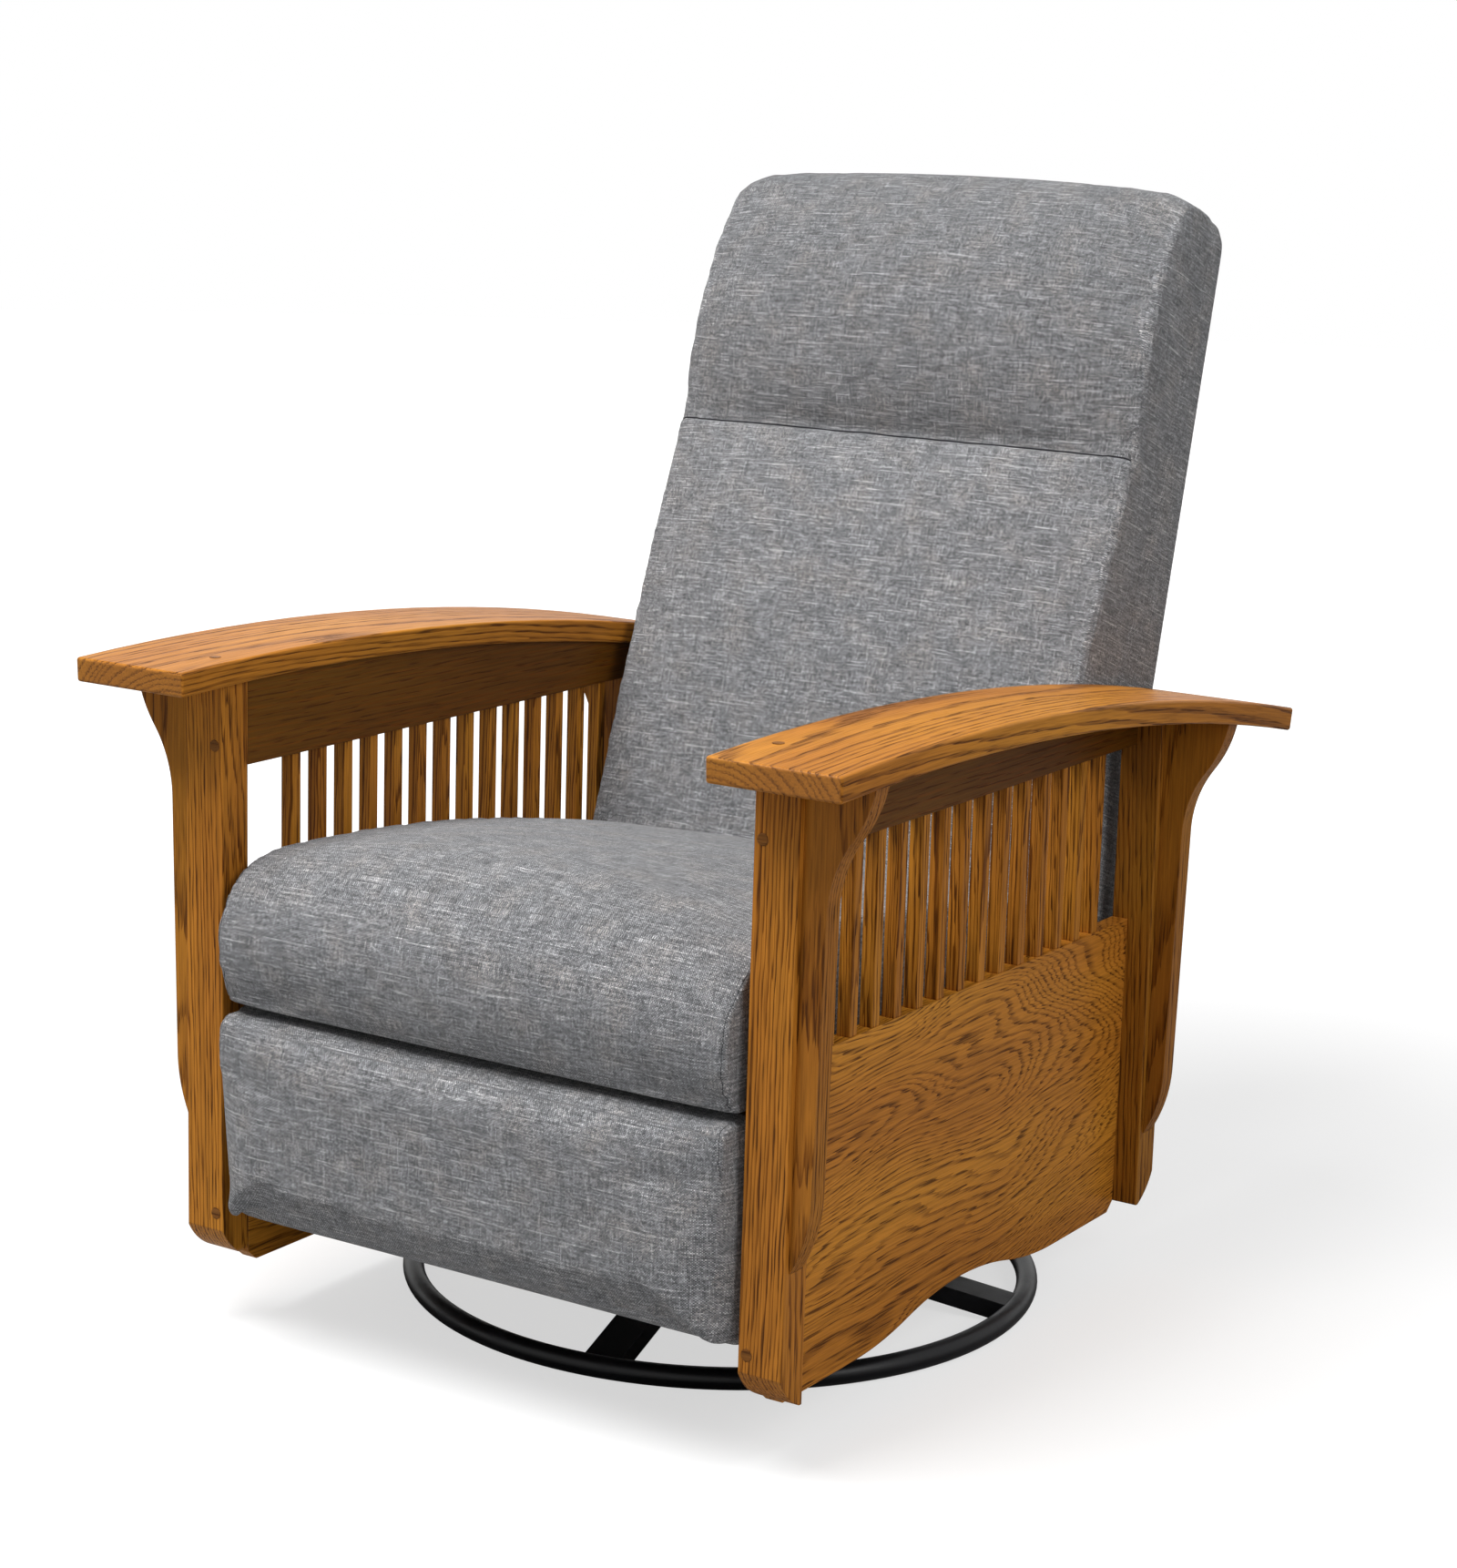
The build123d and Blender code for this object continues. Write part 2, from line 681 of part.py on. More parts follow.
with BuildPart() as platform_bolts:
    for side in (-1, 1):
        for y, z in end_bolts:
            rod(side * (tube_end - bolt_head), side * tube_end, y, z, bolt_head_radius)
            rod(side * tube_end, side * (post_inner + bolt_bite), y, z, bolt_radius)
save(platform_bolts, "platform_bolts")

# Rear stretcher between the side frames
with BuildPart() as rear_stretcher:
    with BuildSketch(Plane.YZ.offset(-post_inner)):
        with Locations((rear_post_front - stretcher_thickness / 2, stretcher_floor_gap + stretcher_height / 2)):
            RectangleRounded(stretcher_thickness, stretcher_height, post_edge_round)
    extrude(amount=2 * post_inner)
save(rear_stretcher, "rear_stretcher")

# Slide rails: steel angles on the panels that the seat mechanism runs on
rail_back = post_inner - slide_angle
with BuildPart() as slide_angle_piece:
    with BuildSketch(Plane.XZ.offset(-slide_rear_y)):
        Polygon((post_inner, slide_height), (slide_inner_x, slide_height),
                (slide_inner_x, slide_height - slide_angle), (rail_back, slide_height - slide_angle),
                (rail_back, slide_height - slide_angle_height), (post_inner, slide_height - slide_angle_height),
                align=None)
    extrude(amount=slide_rear_y - slide_front_y)
with BuildPart() as slide_rails:
    add(slide_angle_piece.part)
    add(mirror(slide_angle_piece.part, about=Plane.YZ, mode=Mode.PRIVATE))
save(slide_rails, "slide_rails")

# Mechanism plates: the sides of the seat, each with a flange that rides on the rail
plate_foot = slide_height + side_gap + glide_pad_height
plate_outer = side_plate_x + steel
boss_y = back_pivot_y + pivot_boss
with BuildPart() as side_plate:
    with BuildSketch(Plane.YZ.offset(side_plate_x)):
        with BuildLine():
            boss_front = (back_pivot_y - pivot_boss, back_pivot_z)
            Polyline(boss_front, (back_pivot_y - 2 * pivot_boss, deck_height(deck_rear_y) - steel),
                     (deck_rear_y, deck_height(deck_rear_y) - steel),
                     (plate_front_y, deck_height(plate_front_y) - steel), (plate_front_y, plate_foot),
                     (boss_y, plate_foot), (boss_y, back_pivot_z))
            ThreePointArc((boss_y, back_pivot_z), (back_pivot_y, back_pivot_z + pivot_boss), boss_front)
        make_face()
        with Locations((leg_pivot_y, leg_pivot_z), (back_pivot_y, back_pivot_z)):
            Circle(pin_radius, mode=Mode.SUBTRACT)
    extrude(amount=steel)
    with BuildSketch(Plane.XY.offset(plate_foot)):
        with Locations((plate_outer + flange_width / 2, (plate_front_y + boss_y) / 2)):
            Rectangle(flange_width, boss_y - plate_front_y)
    extrude(amount=steel)
with BuildPart() as side_plates:
    add(side_plate.part)
    add(mirror(side_plate.part, about=Plane.YZ, mode=Mode.PRIVATE))
save(side_plates, "seat_side_plates")

# Nylon glides between the flange and the rail, hooked under the rail's inner edge
with BuildPart() as glide_block:
    hook_floor = slide_height - slide_angle - side_gap - glide_pad_height
    with BuildSketch(Plane.XZ):
        Polygon((side_plate_x, plate_foot), (plate_outer + flange_width, plate_foot),
                (plate_outer + flange_width, slide_height + side_gap),
                (slide_inner_x - side_gap, slide_height + side_gap),
                (slide_inner_x - side_gap, hook_floor + glide_pad_height),
                (slide_inner_x + flange_width / 2, hook_floor + glide_pad_height),
                (slide_inner_x + flange_width / 2, hook_floor), (side_plate_x, hook_floor), align=None)
    extrude(amount=glide_pad_length / 2, both=True)
with BuildPart() as seat_glides:
    with Locations((0, glide_front_y, 0), (0, glide_rear_y, 0)):
        add(glide_block.part)
        add(mirror(glide_block.part, about=Plane.YZ, mode=Mode.PRIVATE))
save(seat_glides, "seat_glides")

# Seat frame: four wood rails, level with the sloping deck
with BuildPart() as seat_rails:
    window_front = deck_front_y + seat_rail_width
    window_rear = deck_rear_y - seat_rail_width
    for y0, y1, inner in ((deck_front_y, window_front, 0), (window_rear, deck_rear_y, 0),
                          (window_front, window_rear, side_plate_x - seat_rail_width)):
        with BuildSketch(Plane.YZ.offset(inner)):
            Polygon((y0, deck_height(y0)), (y0, deck_height(y0) - seat_rail_depth),
                    (y1, deck_height(y1) - seat_rail_depth), (y1, deck_height(y1)), align=None)
        extrude(amount=side_plate_x - inner)
    mirror(about=Plane.YZ)
save(seat_rails, "seat_frame_rails")

# Seat springs: zigzag wires across the window, held in clips on the front and rear rails
clip_lean = (spring_wire + clip_thickness) * sin(radians(deck_slope))
deck_plane = Plane(origin=(0, window_front + clip_lean, deck_height(window_front) - spring_sink),
                   x_dir=(1, 0, 0), z_dir=(0, sin(radians(deck_slope)), cos(radians(deck_slope))))
window_length = (window_rear - window_front - 2 * clip_lean) / cos(radians(deck_slope))
row_count = round((window_length - clip_depth) / spring_pitch)
row_pitch = (window_length - clip_depth) / row_count
spring_step = 2 * (side_plate_x - seat_rail_width) / (spring_count + 1)
with BuildPart() as spring:
    with BuildLine(deck_plane) as wire:
        reach = spring_swing / 2 - row_pitch / 2
        for row in range(row_count + 1):
            way = 1 if row % 2 == 0 else -1
            row_y = clip_depth / 2 + row * row_pitch
            Line((-way * reach, row_y), (way * reach, row_y))
            if row < row_count:
                ThreePointArc((way * reach, row_y), (way * (reach + row_pitch / 2), row_y + row_pitch / 2),
                              (way * reach, row_y + row_pitch))
    start_plane = Plane(origin=wire.line @ 0, z_dir=wire.line % 0)
    with BuildSketch(start_plane):
        Circle(spring_wire)
    sweep(path=wire.line)
with BuildPart() as springs:
    with GridLocations(spring_step, 0, spring_count, 1):
        add(spring.part)
save(springs, "seat_springs")

with BuildPart() as spring_clips:
    for end_y in (clip_depth / 2, window_length - clip_depth / 2):
        with BuildSketch(deck_plane.offset(-spring_wire - clip_thickness)):
            with Locations((0, end_y)):
                with GridLocations(spring_step, 0, spring_count, 1):
                    Rectangle(clip_length, clip_depth)
        extrude(amount=2 * (spring_wire + clip_thickness))
        with BuildSketch(Plane.YZ.offset(-side_plate_x)) as wire_hole:
            with Locations(Plane.YZ.to_local_coords(deck_plane.from_local_coords(Vector(0, end_y, 0)))):
                Circle(spring_wire)
        extrude(amount=2 * side_plate_x, mode=Mode.SUBTRACT)
save(spring_clips, "spring_clips")

# Pins of the leg rest and of the back in the mechanism plates
link_a_x = side_plate_x - steel_lap
link_b_x = link_a_x - steel_lap
bracket_x = link_b_x - steel_lap
with BuildPart() as seat_pins:
    pin_pair(link_a_x, plate_outer, leg_pivot_y, leg_pivot_z)
    pin_pair(link_a_x, plate_outer, back_pivot_y, back_pivot_z)
save(seat_pins, "seat_pivot_pins")

# Leg rest links: the two long links a side fold to a point below the seat
board_pivot_y = leg_pad_front_y + leg_pad_thickness + soft_gap + leg_board_thickness + leg_board_pivot_back
pivot_span = hypot(board_pivot_y - leg_pivot_y, leg_board_pivot_z - leg_pivot_z)
knee_drop = sqrt(leg_link_length ** 2 - (pivot_span / 2) ** 2)
knee_y = (leg_pivot_y + board_pivot_y) / 2 + knee_drop * (leg_pivot_z - leg_board_pivot_z) / pivot_span
knee_z = (leg_pivot_z + leg_board_pivot_z) / 2 + knee_drop * (board_pivot_y - leg_pivot_y) / pivot_span
with BuildPart() as leg_rear_links:
    link_pair(link_a_x, (leg_pivot_y, leg_pivot_z), (knee_y, knee_z), leg_link_width)
save(leg_rear_links, "leg_rest_rear_links")
with BuildPart() as leg_front_links:
    link_pair(link_b_x, (knee_y, knee_z), (board_pivot_y, leg_board_pivot_z), leg_link_width)
save(leg_front_links, "leg_rest_front_links")
with BuildPart() as knee_pins:
    pin_pair(link_b_x, link_a_x + steel, knee_y, knee_z)
save(knee_pins, "leg_rest_knee_pins")
with BuildPart() as board_pins:
    pin_pair(bracket_x, link_b_x + steel, board_pivot_y, leg_board_pivot_z)
save(board_pins, "leg_rest_board_pins")

with BuildPart() as torque_tube_piece:
    link_lean = atan2(knee_z - leg_pivot_z, knee_y - leg_pivot_y)
    with BuildSketch(Plane.YZ.offset(-link_a_x)):
        with Locations((leg_pivot_y + torque_tube_drop * cos(link_lean),
                        leg_pivot_z + torque_tube_drop * sin(link_lean))):
            RectangleRounded(torque_tube, torque_tube, steel / 2, rotation=degrees(link_lean))
            RectangleRounded(torque_tube - steel, torque_tube - steel, steel / 4,
                             rotation=degrees(link_lean), mode=Mode.SUBTRACT)
    extrude(amount=2 * link_a_x)
save(torque_tube_piece, "leg_rest_torque_tube")

# Leg rest board, its brackets and its pad
board_rear = board_pivot_y - leg_board_pivot_back
leg_pad_top = leg_pad_bottom + leg_pad_height
leg_mid_z = (leg_pad_bottom + leg_pad_top) / 2
with BuildPart() as leg_board:
    with BuildSketch(Plane.XZ.offset(-board_rear)):
        with Locations((0, leg_mid_z)):
            RectangleRounded(2 * (leg_pad_half_width - leg_board_margin), leg_pad_height - 2 * leg_board_margin,
                             leg_board_margin)
    extrude(amount=leg_board_thickness)
save(leg_board, "leg_rest_board")

with BuildPart() as leg_brackets:
    for side in (-1, 1):
        web_x = bracket_x if side > 0 else -bracket_x - steel
        with BuildSketch(Plane.YZ.offset(web_x)):
            with Locations(((board_rear + board_pivot_y) / 2, leg_board_pivot_z)):
                Rectangle(leg_board_pivot_back, leg_bracket_height)
            with Locations((board_pivot_y, leg_board_pivot_z)):
                Circle(leg_link_width / 2)
            with Locations((board_pivot_y, leg_board_pivot_z)):
                Circle(pin_radius, mode=Mode.SUBTRACT)
        extrude(amount=steel)
        with BuildSketch(Plane.XZ.offset(-board_rear)):
            with Locations((side * (bracket_x + steel - leg_bracket_foot / 2), leg_board_pivot_z)):
                Rectangle(leg_bracket_foot, leg_bracket_height)
        extrude(amount=-slide_angle)
save(leg_brackets, "leg_rest_brackets")


def bowed(start, end, bow):
    """The three points of an arc that bows to the right of the way from start to end."""
    run = hypot(end[0] - start[0], end[1] - start[1])
    across_y = (end[1] - start[1]) / run * bow
    across_z = (start[0] - end[0]) / run * bow
    return (start, ((start[0] + end[0]) / 2 + across_y, (start[1] + end[1]) / 2 + across_z), end)


def pillow(sections, name):
    """A soft pad lofted through closed outlines of the same number of edges."""
    with BuildPart() as pad:
        for plane, outline in sections:
            with BuildSketch(plane):
                with BuildLine():
                    for points in outline:
                        if len(points) == 2:
                            Line(*points)
                        else:
                            ThreePointArc(*points)
                make_face()
        loft(ruled=True)
    save(pad, name)


# Leg rest pad: a boxed pad with rounded front edges and a low crown
with BuildPart() as leg_pad:
    pad_rear = leg_pad_front_y + leg_pad_thickness
    for step in range(leg_pad_steps + 1):
        turn = radians(90 * step / leg_pad_steps)
        draw = leg_pad_draw_in * (1 - cos(turn)) ** 3
        with BuildSketch(Plane.XZ.offset(leg_pad_thickness * sin(turn) - pad_rear)):
            with Locations((0, leg_mid_z)):
                RectangleRounded(2 * (leg_pad_half_width - draw), leg_pad_height - 2 * draw, leg_pad_corner)
    loft(ruled=True)
save(leg_pad, "leg_rest_pad")


def across(half_width, outline):
    """Cushion sections from side to side: crowned in the middle, drawn in at the sides."""
    sections = []
    for step in range(-cushion_steps, cushion_steps + 1):
        turn = radians(90 * step / cushion_steps)
        sections.append((Plane.YZ.offset(half_width * sin(turn)), outline(cos(turn) ** 2, (1 - cos(turn)) ** 4)))
    return sections


# Seat cushion: crowned, with a rounded nose and drawn-in sides
def seat_outline(crown_share, draw_share):
    """The seat cushion's outline at one place across the chair."""
    crown = seat_crown * crown_share
    slope = sin(radians(deck_slope)) / cos(radians(deck_slope))
    lean = radians(back_lean)
    floor = deck_front_height + side_gap
    rear_rise = floor - back_foot_z - soft_gap * sin(lean)
    rear_rise -= (back_foot_y - soft_gap * cos(lean) - deck_front_y) * slope
    rear_foot = back_point(rear_rise / (cos(lean) + sin(lean) * slope), -soft_gap)
    rear_top = back_point(seat_rear_crown * crown_share - seat_rear_drop, -soft_gap)
    front_foot = (seat_front_y + seat_draw_in * draw_share, floor - (seat_front_y - deck_front_y) * slope)
    front_foot = (front_foot[0], front_foot[1] - seat_draw_in * draw_share * slope)
    brow = (seat_brow_y, seat_brow_height + crown - seat_edge_drop * draw_share)
    nose = (seat_front_y - seat_nose + seat_draw_in * draw_share, seat_nose_height + crown / 3)
    return ((front_foot, rear_foot), (rear_foot, rear_top), bowed(rear_top, brow, seat_top_bow),
            bowed(brow, nose, seat_nose_bow), bowed(nose, front_foot, seat_chin_bow))


pillow(across(seat_half_width, seat_outline), "seat_cushion")


# Back cushions: a lower pad and a deeper head pad, with a sewn channel between them
def lower_outline(crown_share, draw_share):
    """Outline of the lower back pad."""
    seam = back_seam - soft_gap / 2
    draw = back_pad_draw_in * draw_share
    swell = lower_bulge * (back_side_share + (1 - back_side_share) * crown_share)
    foot_front = back_point(back_pad_foot, draw)
    bulge_foot = back_point(back_bulge_foot, draw)
    lip = back_point(seam - channel_width, draw - swell / 3)
    channel_mid = back_point(seam - channel_width / 4, draw)
    seam_front = back_point(seam, channel_depth + draw)
    belly = back_point((back_bulge_foot + seam - channel_width) / 2, draw - swell)
    seam_rear = back_point(seam, back_pad_thickness)
    foot_rear = back_point(back_pad_foot, back_pad_thickness)
    return ((foot_front, bulge_foot), (bulge_foot, belly, lip), (lip, channel_mid, seam_front),
            (seam_front, seam_rear), (seam_rear, foot_rear), (foot_rear, foot_front))


def head_outline(crown_share, draw_share):
    """Outline of the head pad."""
    seam = back_seam + soft_gap / 2
    draw = back_pad_draw_in * draw_share
    swell = head_bulge * (back_side_share + (1 - back_side_share) * crown_share)
    top = back_top - back_corner * draw_share
    seam_front = back_point(seam, channel_depth + draw)
    channel_mid = back_point(seam + channel_width / 4, channel_depth / 3 + draw)
    lip = back_point(seam + channel_width, draw - swell / 12)
    brow = back_point(top - head_brow_drop, head_brow_depth + draw)
    belly = back_point((seam + channel_width + top) / 2, draw - swell)
    crest = back_point(top + head_crest_rise * crown_share, (head_brow_depth + back_pad_thickness) / 2)
    top_rear = back_point(top, back_pad_thickness)
    seam_rear = back_point(seam, back_pad_thickness)
    return ((seam_front, channel_mid, lip), (lip, belly, brow), (brow, crest, top_rear),
            (top_rear, seam_rear), (seam_rear, seam_front))


pillow(across(back_half_width, lower_outline), "lower_back_cushion")
pillow(across(back_half_width, head_outline), "headrest_cushion")

# Back frame: side boards, cross rails, webbing and the upholstered outside cover
frame_front = back_pad_thickness + soft_gap + web_thickness
board_outer = back_half_width - back_board_inset
board_inner = board_outer - back_board
board_top = back_top - back_corner
with BuildPart() as back_boards:
    for x in (board_inner, -board_outer):
        with BuildSketch(Plane.YZ.offset(x)):
            Polygon(back_point(back_pad_foot, frame_front), back_point(board_top, frame_front),
                    back_point(board_top, back_depth(board_top) - outer_back_thickness),
                    back_point(back_pad_foot, back_depth(back_pad_foot) - outer_back_thickness), align=None)
        extrude(amount=back_board)
save(back_boards, "back_side_boards")

with BuildPart() as back_rails:
    for up in (back_lower_rail, back_middle_rail, back_upper_rail):
        with BuildSketch(Plane.YZ.offset(-board_inner)):
            Polygon(back_point(up, frame_front), back_point(up + back_rail_width, frame_front),
                    back_point(up + back_rail_width, frame_front + back_rail_depth),
                    back_point(up, frame_front + back_rail_depth), align=None)
        extrude(amount=2 * board_inner)
save(back_rails, "back_cross_rails")

with BuildPart() as webbing:
    web_step = (back_upper_rail - back_pad_foot) / web_count
    for number in range(web_count):
        up = back_pad_foot + (number + 1 / 2) * web_step - web_width / 2
        with BuildSketch(Plane.YZ.offset(-board_outer)):
            Polygon(back_point(up, frame_front - web_thickness), back_point(up + web_width, frame_front - web_thickness),
                    back_point(up + web_width, frame_front), back_point(up, frame_front), align=None)
        extrude(amount=2 * board_outer)
save(webbing, "back_webbing")

with BuildPart() as back_cover:
    cover_front = back_pad_thickness + soft_gap
    cavity_top = back_top - back_board_inset
    foot_cut = back_pad_foot - overrun
    front_cut = cover_front - overrun
    with BuildSketch(Plane.YZ.offset(-back_half_width)):
        Polygon(back_point(back_pad_foot, cover_front), back_point(back_top, cover_front),
                back_point(back_top, back_depth(back_top)), back_point(back_pad_foot, back_depth(back_pad_foot)),
                align=None)
    extrude(amount=2 * back_half_width)
    fillet(back_cover.faces().filter_by(Axis.X).edges().group_by(Axis.Z)[-1], radius=back_corner)
    fillet(back_cover.faces().sort_by(Axis.Y)[-1].edges() - back_cover.edges().group_by(Axis.Z)[0],
           radius=back_edge_round)
with BuildPart() as cover_cavity:
    with BuildSketch(Plane.YZ.offset(-board_outer)):
        Polygon(back_point(foot_cut, front_cut), back_point(cavity_top, front_cut),
                back_point(cavity_top, back_depth(cavity_top) - outer_back_thickness),
                back_point(foot_cut, back_depth(foot_cut) - outer_back_thickness), align=None)
    extrude(amount=2 * board_outer)
    fillet(cover_cavity.faces().filter_by(Axis.X).edges().group_by(Axis.Z)[-1],
           radius=back_corner - back_board_inset)
with BuildPart() as outside_back:
    add(back_cover.part)
    add(cover_cavity.part, mode=Mode.SUBTRACT)
save(outside_back, "outside_back")

# Steel brackets that carry the back on its pivot
bracket_front = frame_front + side_gap
bracket_foot = back_pad_foot - pivot_boss / 2
with BuildPart() as back_brackets:
    for x in (link_a_x, -link_a_x - steel):
        with BuildSketch(Plane.YZ.offset(x)):
            with Locations((back_pivot_y, back_pivot_z)):
                Circle(pivot_boss)
            Polygon((back_pivot_y, back_pivot_z), back_point(bracket_foot, bracket_front - pivot_boss),
                    back_point(bracket_foot, bracket_front),
                    back_point(back_pad_foot + bracket_height, bracket_front),
                    back_point(back_pad_foot + bracket_height, bracket_front + bracket_width),
                    back_point(back_pad_foot, bracket_front + bracket_width), align=None)
            with Locations((back_pivot_y, back_pivot_z)):
                Circle(pin_radius + pin_clearance, mode=Mode.SUBTRACT)
        extrude(amount=steel)
save(back_brackets, "back_brackets")
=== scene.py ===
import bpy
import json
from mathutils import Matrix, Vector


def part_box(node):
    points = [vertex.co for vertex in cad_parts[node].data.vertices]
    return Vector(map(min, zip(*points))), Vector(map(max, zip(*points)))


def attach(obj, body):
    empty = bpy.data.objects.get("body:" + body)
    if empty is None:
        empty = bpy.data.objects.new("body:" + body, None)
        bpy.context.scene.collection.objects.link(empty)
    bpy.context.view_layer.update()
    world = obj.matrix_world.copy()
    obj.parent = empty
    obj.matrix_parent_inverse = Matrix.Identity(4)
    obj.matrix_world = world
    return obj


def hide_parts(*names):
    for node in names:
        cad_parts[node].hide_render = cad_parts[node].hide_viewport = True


bl_info = {
    "name": "Mission Swivel Glider Recliner",
    "version": (1, 0, 0),
    "blender": (4, 5, 0),
    "location": "3D View > Sidebar > Recliner",
    "description": "Upholstery, oak, steel and studio stage for the mission recliner",
    "category": "Object",
}

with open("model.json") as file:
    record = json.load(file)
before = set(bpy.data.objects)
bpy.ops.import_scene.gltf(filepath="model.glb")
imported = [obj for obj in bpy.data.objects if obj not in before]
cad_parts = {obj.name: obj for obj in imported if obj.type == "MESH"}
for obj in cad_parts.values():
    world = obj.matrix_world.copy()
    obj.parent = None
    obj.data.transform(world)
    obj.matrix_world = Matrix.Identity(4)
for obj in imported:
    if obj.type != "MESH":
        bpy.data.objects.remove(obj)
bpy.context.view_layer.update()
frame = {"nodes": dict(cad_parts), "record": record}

import json
import math
from collections import namedtuple

import bmesh
import bpy
import numpy as np
from bpy.props import FloatProperty, FloatVectorProperty, IntProperty, PointerProperty
from mathutils import Matrix, Vector, noise
from mathutils.bvhtree import BVHTree
from mathutils.kdtree import KDTree

NODES = frame["nodes"]


# Properties: the sizes and colours that a maker would change


def colour(name, description, value):
    """A colour property with its default."""
    return FloatVectorProperty(
        name=name, description=description, default=value, size=3, min=0, max=1, subtype="COLOR"
    )


def length(name, description, value):
    """A length property in metres."""
    return FloatProperty(name=name, description=description, default=value, min=0, unit="LENGTH", precision=4)


def amount(name, description, value, low=0.0, high=1.0):
    """A plain factor."""
    return FloatProperty(
        name=name, description=description, default=value, min=low, max=high, subtype="FACTOR"
    )


def angle(name, description, degrees):
    """An angle, given in degrees."""
    return FloatProperty(name=name, description=description, default=math.radians(degrees), subtype="ANGLE")


def power(name, description, value):
    """A lamp's power in watts."""
    return FloatProperty(name=name, description=description, default=value, min=0)


class OakFinish(bpy.types.PropertyGroup):
    """Stained oak of the arms, posts, rails, slats, panels and corbels."""

    pale: colour("Late wood", "Stain over the dense wood between the rings", (0.374, 0.146, 0.0165))
    ring: colour("Early wood", "Stain that the porous ring takes up", (0.15, 0.048, 0.004))
    pore: colour("Pores", "Stain left standing in the open pores", (0.055, 0.018, 0.003))
    end_pale: colour("End grain", "Late wood on a sawn end", (0.236, 0.1, 0.032))
    plug: colour("Plug", "Late wood of the screw plugs", (0.18, 0.07, 0.014))
    ring_width: length("Ring width", "Thickness of one year's growth", 0.0058)
    eased_edge: length("Eased edge", "Radius that sanding leaves on an edge", 0.0018)
    worn: amount("Rubbed edges", "How far the stain is rubbed off the edges", 0.3)
    satin: amount("Satin", "Roughness of the lacquer", 0.4)


class ClothFinish(bpy.types.PropertyGroup):
    """Grey heathered upholstery cloth."""

    weft: colour("Weft yarn", "Pale yarn that runs across the chair", (0.29, 0.294, 0.304))
    warp: colour("Warp yarn", "Darker yarn that runs up the chair", (0.106, 0.109, 0.116))
    warm: colour("Warm fibre", "Brownish fibre mixed into the yarns", (0.25, 0.215, 0.185))
    slub: colour("Slub", "Pale thick places of the weft yarn", (0.58, 0.575, 0.585))
    # Painted shadow: this near black thread colour also draws the shade in the seams' creases
    thread: colour("Seam thread", "Sewing thread and the shade in the seam", (0.03, 0.03, 0.034))
    pitch: length("Yarn pitch", "Distance from one yarn to the next", 0.0012)
    relief: length("Relief", "How far a yarn stands out", 0.0006)
    # Painted shade: the head pad's front is drawn this much darker than the lower pad
    head_painted_shade: amount("Head pad nap", "How much darker the head pad is, with its nap the other way", 0.17)


class Filling(bpy.types.PropertyGroup):
    """How the cushions and pads are filled and sewn."""

    voxel: length("Grid", "Grid that the cover is drawn on before it is filled", 0.006)
    start_smaller: length("Cut smaller", "How much smaller the cover is cut than the cushion", 0.004)
    most: length("Most swell", "Farthest that the filling moves the cover", 0.022)
    pressure: FloatProperty(name="Pressure", description="Pressure of the filling", default=4.0, min=0)
    frames: IntProperty(name="Frames", description="Steps that the filling takes", default=20, min=2)
    seam_depth: length("Seam depth", "How deep a seam pulls the cover in", 0.0026)
    seam_width: length("Seam width", "Half width of the hollow along a seam", 0.0042)
    seam_inset: length("Seam inset", "Distance of the side seam from the cushion's side", 0.006)
    seam_slack: length("Seam slack", "How far the cloth puckers beside a seam", 0.0011)
    # The seam lines are thread and painted shadow of the crease; the cross seam's is the thicker
    thread_and_shadow_radius: length("Thread", "Radius of the line in the back's cross seam", 0.0009)
    side_thread_and_shadow: length("Side thread", "Radius of the line in the side seams", 0.0003)


class MetalFinish(bpy.types.PropertyGroup):
    """Black base, zinc plated mechanism and the bearing."""

    coat: colour("Powder coat", "Satin black coat of the base", (0.005, 0.005, 0.006))
    zinc: colour("Zinc", "Plated mechanism parts", (0.52, 0.53, 0.55))
    bearing: colour("Bearing steel", "Races, balls and spindle", (0.42, 0.41, 0.4))
    nylon: colour("Nylon", "Slide pads of the seat", (0.62, 0.6, 0.54))


class InnerFrame(bpy.types.PropertyGroup):
    """Wood and webbing that the upholstery covers."""

    poplar: colour("Poplar", "Seat rails and back boards", (0.56, 0.43, 0.27))
    poplar_ring: colour("Poplar ring", "Darker year rings", (0.4, 0.28, 0.16))
    birch: colour("Plywood face", "Outer veneer of the leg rest board", (0.58, 0.43, 0.27))
    glue: colour("Glue line", "Dark line between two veneers", (0.2, 0.12, 0.06))
    veneer: length("Veneer", "Thickness of one veneer", 0.0017)
    webbing: colour("Webbing", "Black elastic webbing", (0.03, 0.03, 0.032))
    webbing_stripe: colour("Webbing stripe", "Coloured yarn in the webbing", (0.2, 0.05, 0.035))


class Studio(bpy.types.PropertyGroup):
    """Floor, lamps and camera."""

    floor: colour("Floor", "Pale floor", (0.42, 0.42, 0.42))
    azimuth: angle("Azimuth", "Camera direction round the chair", 32.5)
    elevation: angle("Elevation", "Camera height over the horizon", 11.9)
    roll: angle("Roll", "Turn of the camera about its axis", 1.7)
    distance: length("Distance", "Camera to the point that it looks at", 3.3973)
    lens: FloatProperty(name="Lens", description="Focal length in millimetres", default=82.285)
    sky: amount("Room light", "Even light from all around", 0.31, 0, 2)
    key: power("Key lamp", "Power of the large lamp in front", 184)
    top: power("Top lamp", "Power of the lamp overhead", 6)
    fill: power("Side lamp", "Power of the lamp at the side", 44)


PROPERTIES = {
    "recliner_oak": OakFinish,
    "recliner_cloth": ClothFinish,
    "recliner_filling": Filling,
    "recliner_metal": MetalFinish,
    "recliner_inner": InnerFrame,
    "recliner_studio": Studio,
}


# Shader wiring


def place(tree, kind, inputs=None, **options):
    """Adds a shader node, sets its options, and fills its inputs with values or links."""
    node = tree.nodes.new("ShaderNode" + kind)
    for option, value in options.items():
        setattr(node, option, value)
    fill_inputs(tree, node, inputs or {})
    return node


